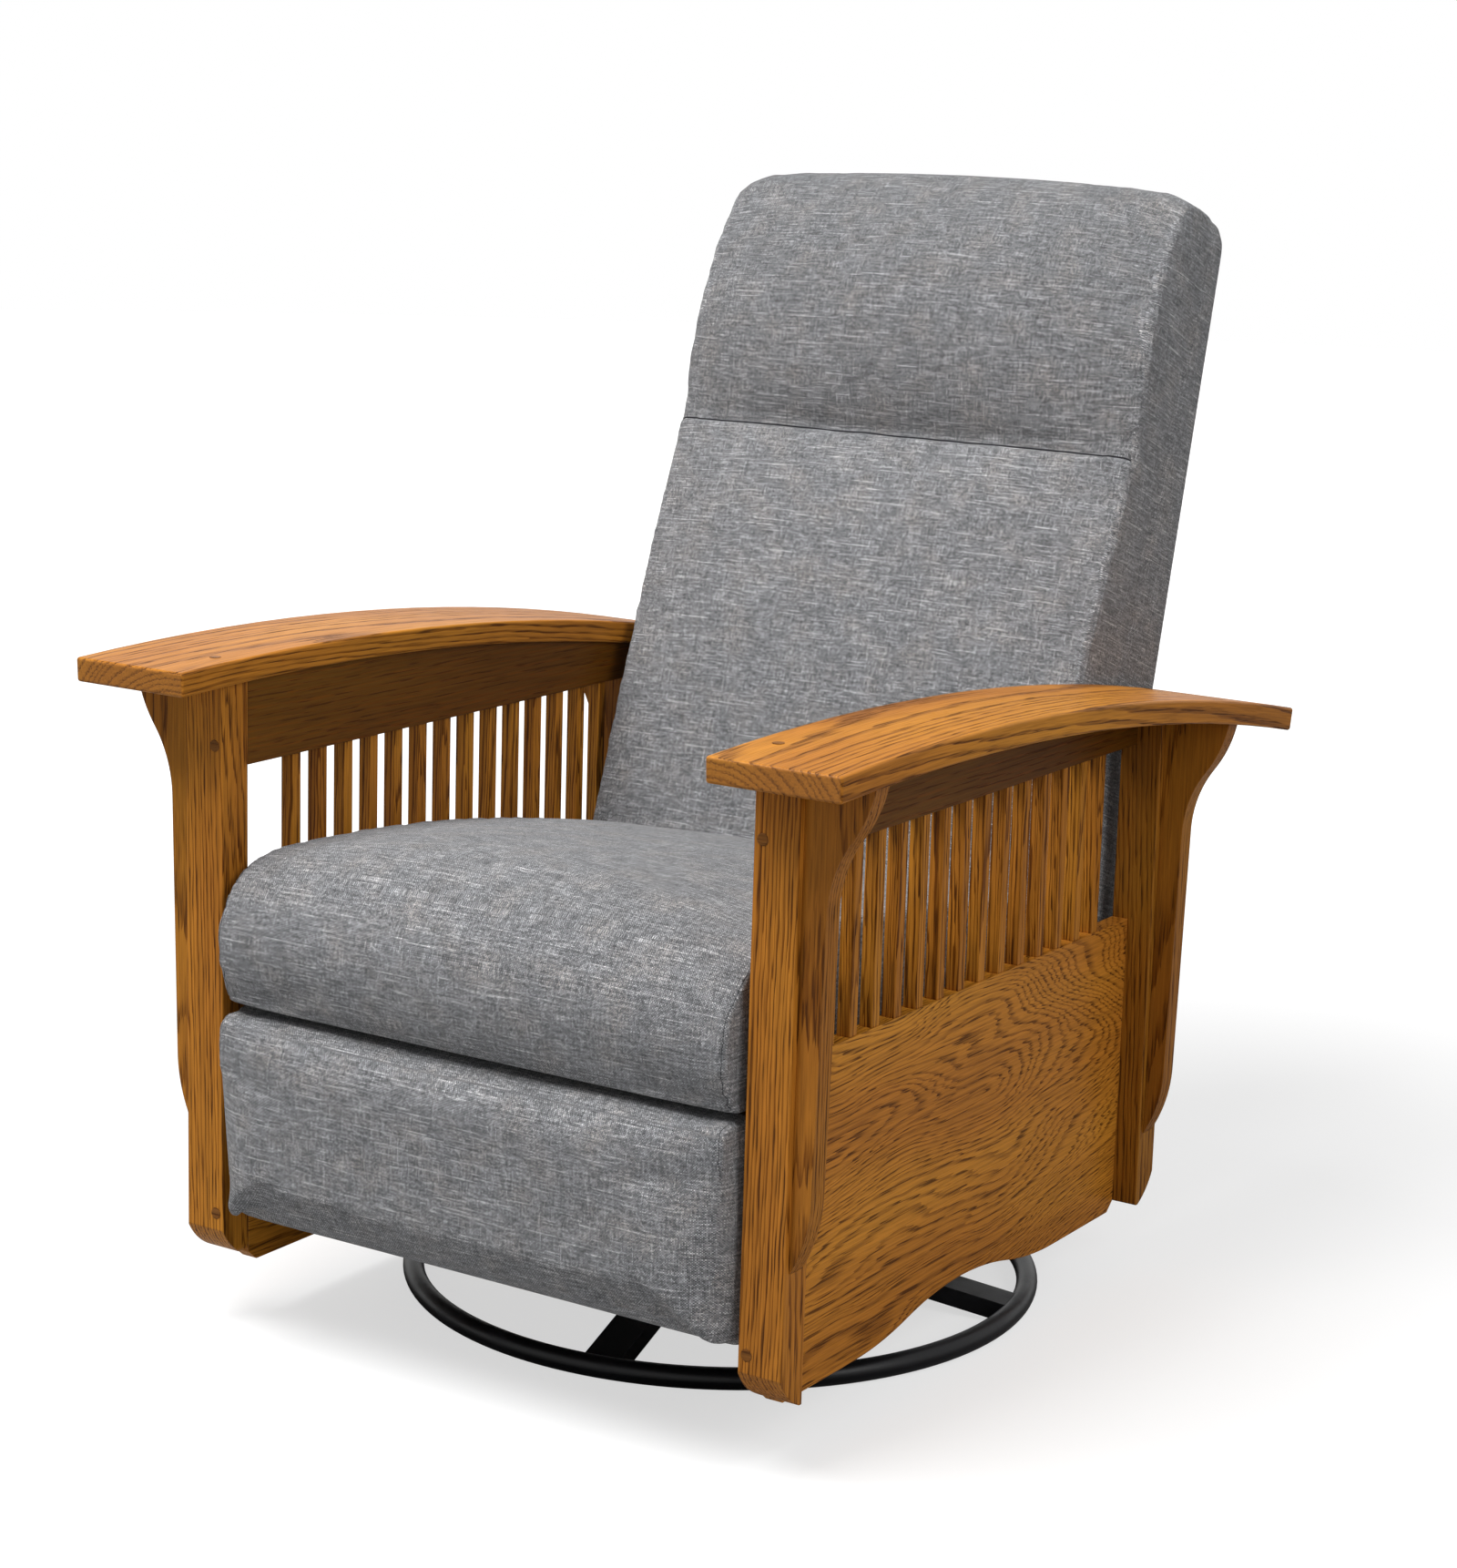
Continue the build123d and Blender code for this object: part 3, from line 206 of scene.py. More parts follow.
def fill_inputs(tree, node, inputs):
    """Gives each named input its value or its link."""
    for socket, value in inputs.items():
        if isinstance(value, bpy.types.NodeSocket):
            tree.links.new(value, node.inputs[socket])
        else:
            node.inputs[socket].default_value = value


def maths(tree, operation, *values):
    """One step of arithmetic."""
    return place(tree, "Math", dict(enumerate(values)), operation=operation).outputs[0]


def times(tree, first, second):
    """One value times another."""
    return maths(tree, "MULTIPLY", first, second)


def plus(tree, first, second):
    """One value and another."""
    return maths(tree, "ADD", first, second)


def minus(tree, first, second):
    """One value less another."""
    return maths(tree, "SUBTRACT", first, second)


def times_plus(tree, value, factor, extra):
    """A value times a factor, and something more."""
    return maths(tree, "MULTIPLY_ADD", value, factor, extra)


def step(tree, value, low, high, first=0.0, last=1.0):
    """Rises smoothly from first to last as value goes from low to high."""
    inputs = {"Value": value, "From Min": low, "From Max": high, "To Min": first, "To Max": last}
    return place(tree, "MapRange", inputs, interpolation_type="SMOOTHSTEP").outputs[0]


def mixed(tree, share, first, second):
    """A colour between two."""
    return place(tree, "Mix", {0: share, 6: first, 7: second}, data_type="RGBA").outputs[2]


def split(tree, vector):
    """The three numbers of a vector."""
    return place(tree, "SeparateXYZ", {0: vector}).outputs


def joined(tree, x, y, z):
    """A vector of three numbers."""
    return place(tree, "CombineXYZ", {0: x, 1: y, 2: z}).outputs[0]


def vector_maths(tree, operation, first, second):
    """One step of arithmetic with two vectors."""
    return place(tree, "VectorMath", {0: first, 1: second}, operation=operation).outputs[0]


def spot_on(tree):
    """Position on the piece in metres. It stays with the piece when that moves."""
    return tree.nodes.new("ShaderNodeTexCoord").outputs["Object"]


def cloudy(tree, vector, detail=1.0, scale=1.0):
    """Soft noise from 0 to 1."""
    inputs = {"Vector": vector, "Scale": scale, "Detail": detail, "Roughness": 0.5}
    return place(tree, "TexNoise", inputs).outputs[0]


def rgba(value):
    """A colour socket's four numbers."""
    return (*value, 1.0)


def shaded(value, share):
    """A darker or lighter shade of a colour, for a colour socket."""
    return rgba(tuple(channel * share for channel in value))


def new_group(name, inputs, outputs):
    """An empty node group with named sockets."""
    group = bpy.data.node_groups.new(name, "ShaderNodeTree")
    kinds = {float: "NodeSocketFloat", tuple: "NodeSocketColor", Vector: "NodeSocketVector"}
    for socket, default in inputs.items():
        made = group.interface.new_socket(socket, in_out="INPUT", socket_type=kinds[type(default)])
        made.default_value = default
    for socket, kind in outputs.items():
        group.interface.new_socket(socket, in_out="OUTPUT", socket_type=kinds[kind])
    return group, group.nodes.new("NodeGroupInput").outputs, group.nodes.new("NodeGroupOutput").inputs


def use_group(tree, name, inputs):
    """Places a node group in a material."""
    node = tree.nodes.new("ShaderNodeGroup")
    node.node_tree = bpy.data.node_groups[name]
    fill_inputs(tree, node, inputs)
    return node.outputs


def new_material(name, **constants):
    """A material with a Principled shader whose even values are set on its own sockets."""
    material = bpy.data.materials.new(name)
    material.use_nodes = True
    shader = material.node_tree.nodes["Principled BSDF"]
    for socket, value in constants.items():
        shader.inputs[socket.replace("_", " ")].default_value = value
    return material, material.node_tree, shader


def feed(tree, shader, tone, roughness):
    """Links a colour and a roughness to the shader."""
    tree.links.new(tone, shader.inputs["Base Color"])
    tree.links.new(roughness, shader.inputs["Roughness"])


def bumped(tree, shader, height, distance, normal=None, strength=1.0):
    """Feeds a height into the shader's normal."""
    inputs = {"Height": height, "Distance": distance, "Strength": strength}
    if normal is not None:
        inputs["Normal"] = normal
    bump = place(tree, "Bump", inputs)
    tree.links.new(bump.outputs[0], shader.inputs["Normal"])


# Shared patterns


WHITE = (1.0, 1.0, 1.0, 1.0)

# How finely the wood's noises vary, per metre across, deep and along the grain
SWAY_SCALE = (7.0, 7.0, 2.2)
RIPPLE_SCALE = (42.0, 42.0, 11.0)
RAGGED_SCALE = (330.0, 330.0, 17.0)
FIBRE_SCALE = (520.0, 520.0, 11.0)
PORE_SCALE = (560.0, 560.0, 24.0)
BROAD_SCALE = (11.0, 11.0, 2.4)

# How far ripples and ragged fibres move a ring (m)
RIPPLE_REACH = 0.0026
RAGGED_REACH = 0.0042


def grain_group():
    """Growth rings, pores and fibre of sawn wood. Z of Position runs along the grain."""
    inputs = {
        "Position": Vector(), "Heart": Vector(), "Board": 0.0, "Ring Width": 0.006, "Swing": 0.02,
        "Taper": 0.05, "Pale": WHITE, "Ring": WHITE, "Pore": WHITE, "Figure": 1.0,
    }
    group, given, gives = new_group("Wood grain", inputs, {"Colour": tuple, "Pores": float, "Height": float})

    # Each board lies somewhere else in the noise
    shift = joined(group, *(times(group, given["Board"], share) for share in (1.37, 2.11, 3.79)))
    spot = vector_maths(group, "ADD", given["Position"], shift)

    def grained(scale, detail):
        return cloudy(group, vector_maths(group, "MULTIPLY", spot, scale), detail)

    # The distance from the heart wanders, and is then counted in years of uneven width
    across, deep, along = split(group, vector_maths(group, "SUBTRACT", given["Position"], given["Heart"]))
    reach = maths(group, "SQRT", plus(group, times(group, across, across), times(group, deep, deep)))
    reach = times_plus(group, along, given["Taper"], reach)
    for scale, detail, most in (
        (SWAY_SCALE, 1.5, given["Swing"]),
        (RIPPLE_SCALE, 1.0, RIPPLE_REACH),
        (RAGGED_SCALE, 1.0, RAGGED_REACH),
    ):
        wander = minus(group, grained(scale, detail), 0.5)
        reach = times_plus(group, wander, most, reach)
    years = maths(group, "DIVIDE", reach, given["Ring Width"])
    slow = {"W": years, "Scale": 0.35, "Detail": 0.0}
    uneven = place(group, "TexNoise", slow, noise_dimensions="1D").outputs[0]
    year = maths(group, "FRACT", times_plus(group, uneven, 1.6, years))

    # A year starts with a porous band, sharp on one side, that fades into dense wood
    band = times(group, step(group, year, 0.0, 0.06), step(group, year, 0.16, 0.5, 1.0, 0.0))
    fibre = grained(FIBRE_SCALE, 2.0)
    dashes = step(group, grained(PORE_SCALE, 1.0), 0.5, 0.62)
    pores = times(group, dashes, times_plus(group, band, 0.78, 0.22))
    broad = grained(BROAD_SCALE, 1.0)

    dark = times(group, band, step(group, fibre, 0.25, 0.7, 0.35, 1.0))
    wood = mixed(group, times(group, dark, given["Figure"]), given["Pale"], given["Ring"])
    wood = mixed(group, times(group, pores, 0.78), wood, given["Pore"])
    broad_light = step(group, broad, 0.25, 0.75, 0.86, 1.12)
    fibre_light = step(group, fibre, 0.25, 0.75, -0.14, 0.16)
    light = plus(group, broad_light, fibre_light)
    hue = step(group, broad, 0.3, 0.8, 0.496, 0.504)
    wood = place(group, "HueSaturation", {"Hue": hue, "Value": light, "Color": wood}).outputs[0]
    height = minus(group, times(group, fibre, 0.35), pores)
    group.links.new(wood, gives["Colour"])
    group.links.new(pores, gives["Pores"])
    group.links.new(times_plus(group, band, -0.4, height), gives["Height"])


def edge_group():
    """A rounded normal over sharp edges, and a mask of where hands and sanding reach."""
    group, given, gives = new_group("Eased edge", {"Radius": 0.002}, {"Normal": Vector, "Worn": float})
    eased = place(group, "Bevel", {"Radius": given["Radius"]}, samples=4).outputs[0]
    flat = group.nodes.new("ShaderNodeNewGeometry").outputs["True Normal"]
    facing = place(group, "VectorMath", {0: eased, 1: flat}, operation="DOT_PRODUCT").outputs["Value"]
    patchy = step(group, cloudy(group, spot_on(group), 2.0, 38.0), 0.35, 0.7, 0.35, 1.0)
    worn = times(group, step(group, facing, 0.995, 0.8), patchy)
    group.links.new(eased, gives["Normal"])
    group.links.new(worn, gives["Worn"])


def dust_group():
    """Fine dust and handling that changes colour and gloss a little."""
    group, given, gives = new_group("Dust", {"Scale": 30.0}, {"Dust": float, "Speckle": float})
    spot = spot_on(group)
    scaled = place(group, "VectorMath", {0: spot, "Scale": given["Scale"]}, operation="SCALE").outputs[0]
    group.links.new(step(group, cloudy(group, scaled, 3.0), 0.42, 0.78), gives["Dust"])
    group.links.new(cloudy(group, spot, 1.0, 1400.0), gives["Speckle"])


def weave_group():
    """Plain weave of heathered yarns with slubs, and painted shade between the yarns. Weft and Warp are
    distances over the cloth.
    """
    inputs = {
        "Weft": 0.0, "Warp": 0.0, "Pitch": 0.00125, "Weft Colour": WHITE, "Warp Colour": WHITE,
        "Warm Colour": WHITE, "Slub Colour": WHITE, "Slubs": 1.0,
    }
    group, given, gives = new_group("Heather weave", inputs, {"Colour": tuple, "Height": float})
    weft, warp = given["Weft"], given["Warp"]

    # The warp end and weft pick that cross here, which is on top, and how they round over each other
    across = maths(group, "DIVIDE", weft, given["Pitch"])
    upward = maths(group, "DIVIDE", warp, given["Pitch"])
    end = maths(group, "FLOOR", across)
    pick = maths(group, "FLOOR", upward)
    over = maths(group, "ABSOLUTE", maths(group, "MODULO", plus(group, end, pick), 2.0))
    hump_across, hump_up = (
        maths(group, "SINE", times(group, maths(group, "FRACT", yarns), math.pi))
        for yarns in (across, upward)
    )
    hump = times(group, hump_across, hump_up)
    fleck = place(group, "TexWhiteNoise", {"Vector": joined(group, end, pick, 0.0)}).outputs[0]

    def drift(first, second, page, detail):
        """Noise over the cloth. Both ways have a scale of their own, and each noise has its own page."""
        x, y = (times(group, value, scale) for value, scale in (first, second))
        return cloudy(group, joined(group, x, y, page), detail)

    # Scales are per metre along a yarn, and per yarn from one to the next
    weft_streak = drift((weft, 46.0), (pick, 0.71), 0.0, 2.0)
    warp_streak = drift((end, 0.73), (warp, 42.0), 7.0, 2.0)
    long_slub = step(group, drift((weft, 12.0), (pick, 0.77), 3.0, 1.0), 0.61, 0.71, 0.0, 0.6)
    short_slub = step(group, drift((weft, 38.0), (pick, 1.31), 11.0, 0.0), 0.64, 0.78, 0.0, 0.5)
    warp_slub = step(group, drift((end, 0.71), (warp, 7.0), 19.0, 1.0), 0.7, 0.82, 0.0, 0.4)
    patch = drift((weft, 26.0), (warp, 26.0), 5.0, 3.0)
    slub = maths(group, "MAXIMUM", long_slub, short_slub)

    # Each yarn takes up some of the other's colour, and slubs show pale
    weft_share = step(group, weft_streak, 0.35, 0.7, 0.0, 0.5)
    warp_share = step(group, warp_streak, 0.45, 0.8, 0.0, 0.5)
    weft_colour = mixed(group, weft_share, given["Weft Colour"], given["Warp Colour"])
    warp_colour = mixed(group, warp_share, given["Warp Colour"], given["Weft Colour"])
    warp_colour = mixed(group, warp_slub, warp_colour, given["Slub Colour"])
    weft_colour = mixed(group, times(group, slub, given["Slubs"]), weft_colour, given["Slub Colour"])
    top = maths(group, "MAXIMUM", over, times(group, slub, 0.6))
    cloth = mixed(group, top, warp_colour, weft_colour)
    warm = times(group, step(group, patch, 0.4, 0.75), step(group, fleck, 0.3, 1.0, 0.1, 0.75))
    cloth = mixed(group, times(group, warm, 0.6), cloth, given["Warm Colour"])

    light = times_plus(group, fleck, 0.9, 0.5)
    for share in (
        step(group, weft_streak, 0.28, 0.72, 1.24, 0.8),
        step(group, warp_streak, 0.28, 0.72, 0.85, 1.17),
        # Painted shade: each yarn is drawn darker towards its edges, where it dips between its neighbours
        times_plus(group, hump, 0.45, 0.72),
        step(group, patch, 0.2, 0.8, 1.14, 1.26),
    ):
        light = times(group, light, share)
    cloth = place(group, "HueSaturation", {"Value": light, "Color": cloth}).outputs[0]
    group.links.new(cloth, gives["Colour"])
    group.links.new(times_plus(group, slub, 0.6, hump), gives["Height"])


# Oak: how each board was cut from its log


# axis is the way that the grain runs, and heart is where the log's heart lay, across and deep (m).
# The rings lean by taper and wander by swing (m). ring_share is their width against the usual one, figure is
# how strongly they show, and shade is how pale the board is drawn: its own tone, with painted light and shade
# for where it stands, darkest on the upper rails and rear posts, which stand in shade.
Cut = namedtuple("Cut", "axis heart taper swing ring_share figure shade")

BOARDS = {
    "arm": Cut("arc", (0.3, -0.1), 0.022, 0.02, 1.25, 0.95, 1.12),
    "front_post": Cut("Z", (0.44, -0.46), 0.02, 0.014, 0.72, 1.1, 1.2),
    "rear_post": Cut("Z", (0.25, 0.23), 0.03, 0.016, 0.8, 1.0, 0.76),
    "front_corbel": Cut("Z", (0.36, -0.52), 0.03, 0.012, 0.8, 1.0, 0.95),
    "rear_corbel": Cut("Z", (0.4, 0.1), 0.04, 0.02, 1.0, 1.0, 0.85),
    "upper_rail": Cut("Y", (0.25, 0.5), 0.03, 0.02, 0.9, 1.0, 0.34),
    "lower_panel": Cut("Y", (0.225, 0.27), 0.07, 0.15, 0.74, 0.74, 1.32),
    "slats": Cut("slat", (0.25, 0.0), 0.02, 0.012, 0.62, 1.35, 1.17),
}
STRETCHER = Cut("X", (0.2, 0.16), 0.03, 0.02, 1.0, 1.0, 1.0)
PLUGS = Cut("X", (0.0, 0.0), 0.02, 0.01, 0.5, 0.6, 1.0)

# The arm's bow, as Y and Z of its centre and its radius, and how the slats are spaced (m)
ARC_CENTRE = (-0.33336, -3.02771)
ARC_RADIUS = 3.70278
SLAT_PITCH = 0.0403
SLAT_WIDTH = 0.02

# Which of X, Y and Z run across, deep and along the grain
GRAIN_ORDER = {"Z": (0, 1, 2), "Y": (0, 2, 1), "X": (1, 2, 0)}
SAWN_END = {"Z": 2, "Y": 1, "arc": 1, "X": 0, "slat": 2}


def grain_position(tree, axis, side, board):
    """Position over the board, with Z along the grain, and the board's own number.

    The two sides of the chair are mirror images in shape but not in grain.
    """
    x, y, z = split(tree, spot_on(tree))
    x = times(tree, x, side)
    if axis in GRAIN_ORDER:
        return joined(tree, *((x, y, z)[k] for k in GRAIN_ORDER[axis])), board
    if axis == "arc":
        level = minus(tree, z, ARC_CENTRE[1])
        back = minus(tree, y, ARC_CENTRE[0])
        reach = maths(tree, "SQRT", times_plus(tree, level, level, times(tree, back, back)))
        return joined(tree, x, minus(tree, reach, ARC_RADIUS), y), board

    # Each slat is a board of its own
    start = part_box("left_slats")[0].y - (SLAT_PITCH - SLAT_WIDTH) / 2
    count = maths(tree, "DIVIDE", minus(tree, y, start), SLAT_PITCH)
    which = plus(tree, maths(tree, "FLOOR", count), board * 31)
    chance = place(tree, "TexWhiteNoise", {"W": which}, noise_dimensions="1D").outputs[1]
    first, second, third = split(tree, chance)
    local = times(tree, maths(tree, "FRACT", count), SLAT_PITCH)
    across = times_plus(tree, first, 0.06, x)
    deep = times_plus(tree, minus(tree, second, 0.5), 0.22, local)
    return joined(tree, across, deep, times_plus(tree, third, 3.0, z)), which


def grain_of(tree, cut, side, board, ring_width, pale, ring, pore):
    """The grain of one board, with its ring width and colours."""
    position, which = grain_position(tree, cut.axis, side, board)
    return use_group(tree, "Wood grain", {
        "Position": position, "Heart": (*cut.heart, 0.0), "Board": which, "Taper": cut.taper,
        "Ring Width": ring_width * cut.ring_share, "Swing": cut.swing, "Figure": cut.figure,
        # The board's shade holds painted light and shade as well as its own tone
        "Pale": shaded(pale, cut.shade), "Ring": rgba(ring), "Pore": rgba(pore),
    })


def oak(name, finish, cut, side, board, pale=None):
    """Stained, lacquered oak for one board or set of slats."""
    material, tree, shader = new_material(
        name, Coat_Weight=0.12, Coat_Roughness=0.26, Specular_IOR_Level=0.05
    )
    stain = (pale or finish.pale, finish.ring, finish.pore)
    grain = grain_of(tree, cut, side, board, finish.ring_width, *stain)
    edge = use_group(tree, "Eased edge", {"Radius": finish.eased_edge})
    normal = tree.nodes.new("ShaderNodeTexCoord").outputs["Normal"]
    sawn = step(tree, maths(tree, "ABSOLUTE", split(tree, normal)[SAWN_END[cut.axis]]), 0.75, 0.95)
    wood = mixed(tree, times(tree, sawn, 0.45), grain["Colour"], rgba(finish.end_pale))
    rubbed = place(tree, "HueSaturation", {"Value": 1.75, "Saturation": 0.92, "Color": wood}).outputs[0]
    wood = mixed(tree, times(tree, edge["Worn"], finish.worn), wood, rubbed)
    rough = times_plus(tree, grain["Pores"], 0.22, finish.satin)
    feed(tree, shader, wood, times_plus(tree, edge["Worn"], 0.1, rough))
    bumped(tree, shader, grain["Height"], 0.00025, edge["Normal"], 0.8)
    return material


def finish_node(name, material):
    """Gives a CAD node its finish through its own material slots."""
    for slot in NODES[name].material_slots:
        slot.material = material


# Upholstery


# The foot of the back's front, and how far the back leans
BACK_FOOT = (0, 0.137, 0.426)
BACK_LEAN = math.radians(20.2)

# How heavy and stiff the cover's cloth is while it is filled
COVER_CLOTH = {
    "quality": 4,
    "mass": 0.3,
    "tension_stiffness": 12,
    "compression_stiffness": 12,
    "shear_stiffness": 6,
    "bending_stiffness": 0.8,
}

# Seams: how far they are felt (seam widths), how unevenly they pull, and how fine that is (per metre)
SEAM_REACH = 9
SLACK_WIDTH = 4
UNEVEN_PULL = 0.35
PULL_SCALE = 55
SLACK_SCALE = 38

# Distance between the points of a path that is laid on a cover (m)
PATH_STEP = 0.003

# Keeps the yarns of a cushion's sides out of line with those of its front (m)
SIDE_SHIFT = 5.013


def back_frame():
    """Origin, upward and rearward directions of the leaning back."""
    up = Vector((0, math.sin(BACK_LEAN), math.cos(BACK_LEAN)))
    rear = Vector((0, math.cos(BACK_LEAN), -math.sin(BACK_LEAN)))
    return Vector(BACK_FOOT), up, rear


def to_back(points):
    """Points of the chair as x, height up the back, depth behind its front."""
    origin, up, rear = back_frame()
    away = points - np.array(origin)
    return np.stack([away[:, 0], away @ np.array(up), away @ np.array(rear)], 1)


def from_back(points):
    """The reverse of to_back."""
    origin, up, rear = back_frame()
    aside, height, depth = (points[:, k] for k in range(3))
    return np.array(origin) + np.outer(aside, (1, 0, 0)) + np.outer(height, up) + np.outer(depth, rear)


def coordinates(mesh):
    """The mesh's points as an array."""
    co = np.empty(len(mesh.vertices) * 3)
    mesh.vertices.foreach_get("co", co)
    return co.reshape(-1, 3)


def set_coordinates(mesh, co):
    """Moves the mesh's points."""
    mesh.vertices.foreach_set("co", co.ravel())
    mesh.update()


def normals(mesh):
    """The direction that each point faces."""
    out = np.empty(len(mesh.vertices) * 3)
    mesh.vertices.foreach_get("normal", out)
    return out.reshape(-1, 3)


def new_piece(name, mesh, material=None):
    """Adds an object for a mesh."""
    piece = bpy.data.objects.new(name, mesh)
    bpy.context.scene.collection.objects.link(piece)
    if material:
        mesh.materials.clear()
        mesh.materials.append(material)
    return piece


def with_modifiers(piece):
    """Applies every modifier of a piece."""
    graph = bpy.context.evaluated_depsgraph_get()
    graph.update()
    mesh = bpy.data.meshes.new_from_object(piece.evaluated_get(graph))
    mesh.name = piece.name
    old = piece.data
    piece.modifiers.clear()
    piece.data = mesh
    bpy.data.meshes.remove(old)
    return mesh


def skin(name, nodes, voxel, bridges=(), core=()):
    """One closed cover drawn round the given solids.

    A bridge repeats one of them a little further on, so that no gap stays between them, and the
    points of a core fill the hollow behind them.
    """
    form = bmesh.new()
    if len(core):
        bmesh.ops.convex_hull(form, input=[form.verts.new(point) for point in core])
    for node, shift in [(node, Vector()) for node in nodes] + list(bridges):
        first = len(form.verts)
        form.from_mesh(NODES[node].data)
        form.verts.ensure_lookup_table()
        bmesh.ops.translate(form, verts=form.verts[first:], vec=shift)
    bmesh.ops.remove_doubles(form, verts=form.verts, dist=1e-5)
    mesh = bpy.data.meshes.new(name)
    form.to_mesh(mesh)
    form.free()
    piece = new_piece(name, mesh)
    remesh = piece.modifiers.new("Cover", "REMESH")
    remesh.mode = "VOXEL"
    remesh.voxel_size = voxel
    with_modifiers(piece)
    keep_largest(piece.data)
    return piece


def keep_largest(mesh):
    """Drops all but the largest closed shell of a mesh."""
    form = bmesh.new()
    form.from_mesh(mesh)
    form.verts.ensure_lookup_table()
    seen, shells = set(), []
    for start in form.verts:
        if start.index in seen:
            continue
        shell, waiting = [], [start]
        seen.add(start.index)
        while waiting:
            point = waiting.pop()
            shell.append(point)
            for edge in point.link_edges:
                other = edge.other_vert(point)
                if other.index not in seen:
                    seen.add(other.index)
                    waiting.append(other)
        shells.append(shell)
    shells.sort(key=len)
    for shell in shells[:-1]:
        bmesh.ops.delete(form, geom=shell, context="VERTS")
    form.to_mesh(mesh)
    form.free()


def soften(mesh, rounds, share=0.5):
    """Evens out a mesh. Every second turn goes the other way, so that it doesn't shrink."""
    way_back = 1.04
    edges = np.empty(len(mesh.edges) * 2, int)
    mesh.edges.foreach_get("vertices", edges)
    a, b = edges.reshape(-1, 2).T
    co = coordinates(mesh)
    count = np.bincount(a, minlength=len(co)) + np.bincount(b, minlength=len(co))
    for turn in range(rounds * 2):
        total = np.zeros_like(co)
        np.add.at(total, a, co[b])
        np.add.at(total, b, co[a])
        move = share if turn % 2 == 0 else -share * way_back
        co += move * (total / count[:, None] - co)
    set_coordinates(mesh, co)


def surface(mesh):
    """A tree of the mesh's faces for finding the nearest place on it."""
    form = bmesh.new()
    form.from_mesh(mesh)
    tree = BVHTree.FromBMesh(form)
    form.free()
    return tree


def evenly(points, count):
    """Points along a chain of straight runs, as many on each run."""
    along = np.linspace(0, len(points) - 1, count)
    columns = np.array(points, float).T
    return np.column_stack([np.interp(along, range(len(points)), column) for column in columns])


def laid_on(tree, path):
    """A path moved onto the surface, evenly divided."""
    found = np.array([tree.find_nearest(Vector(p))[0] for p in path])
    steps = np.linalg.norm(np.diff(found, axis=0), axis=1)
    run = np.concatenate([[0], np.cumsum(steps)])
    keep = np.concatenate([[True], steps > 1e-6])
    count = max(int(run[-1] / PATH_STEP), 8)
    even = np.linspace(0, run[-1], count)
    return np.stack([np.interp(even, run[keep], found[keep, k]) for k in range(3)], 1)


def distance_to(points, paths):
    """Distance of each point to the nearest of the paths."""
    every = np.concatenate(paths)
    tree = KDTree(len(every))
    for k, point in enumerate(every):
        tree.insert(point, k)
    tree.balance()
    return np.array([tree.find(point)[2] for point in points])


def inflate(piece, filling, held):
    """Lets the pressure of the filling blow the cover up, and gives its new mesh."""
    group = piece.vertex_groups.new(name="held")
    group.add([int(i) for i in np.flatnonzero(held)], 1.0, "REPLACE")
    cloth = piece.modifiers.new("Filling", "CLOTH")
    for setting, value in COVER_CLOTH.items():
        setattr(cloth.settings, setting, value)
    cloth.settings.vertex_group_mass = "held"
    cloth.settings.use_pressure = True
    cloth.settings.uniform_pressure_force = filling.pressure
    cloth.settings.effector_weights.gravity = 0
    cloth.collision_settings.use_collision = False
    cloth.point_cache.frame_start = 1
    cloth.point_cache.frame_end = filling.frames
    for now in range(1, filling.frames + 1):
        bpy.context.scene.frame_set(now)
    mesh = with_modifiers(piece)
    bpy.context.scene.frame_set(1)
    piece.vertex_groups.clear()
    return mesh


def fill(piece, filling, held, bounds):
    """Fills the cover like a cushion.

    Held points stay, and bounds keeps the rest clear of the neighbours.
    """
    mesh = piece.data
    free = ~held[:, None]
    cut = coordinates(mesh) - normals(mesh) * filling.start_smaller * free
    set_coordinates(mesh, cut)
    mesh = inflate(piece, filling, held)
    moved = coordinates(mesh) - cut
    far = np.linalg.norm(moved, axis=1)
    limit = filling.most * np.tanh(far / filling.most)
    moved *= (limit / np.maximum(far, 1e-9))[:, None]
    set_coordinates(mesh, bounds(cut + moved))
    soften(mesh, 2)
    divide = piece.modifiers.new("Finer", "SUBSURF")
    divide.levels = divide.render_levels = 1
    with_modifiers(piece)


def sew(piece, filling, paths):
    """Pulls the cover in along its seams, a little unevenly, as stitches do."""
    mesh = piece.data
    co = coordinates(mesh)
    gap = distance_to(co, paths) / filling.seam_width
    facing = normals(mesh)
    for i in np.flatnonzero(gap < SEAM_REACH):
        spot = Vector(co[i])
        pull = 1 + UNEVEN_PULL * noise.noise(spot * PULL_SCALE)
        tight = math.exp(-(gap[i] ** 2)) * filling.seam_depth * pull
        pucker = filling.seam_slack * noise.noise(spot * SLACK_SCALE)
        co[i] -= facing[i] * (tight + math.exp(-((gap[i] / SLACK_WIDTH) ** 2)) * pucker)
    set_coordinates(mesh, co)
    for polygon in mesh.polygons:
        polygon.use_smooth = True


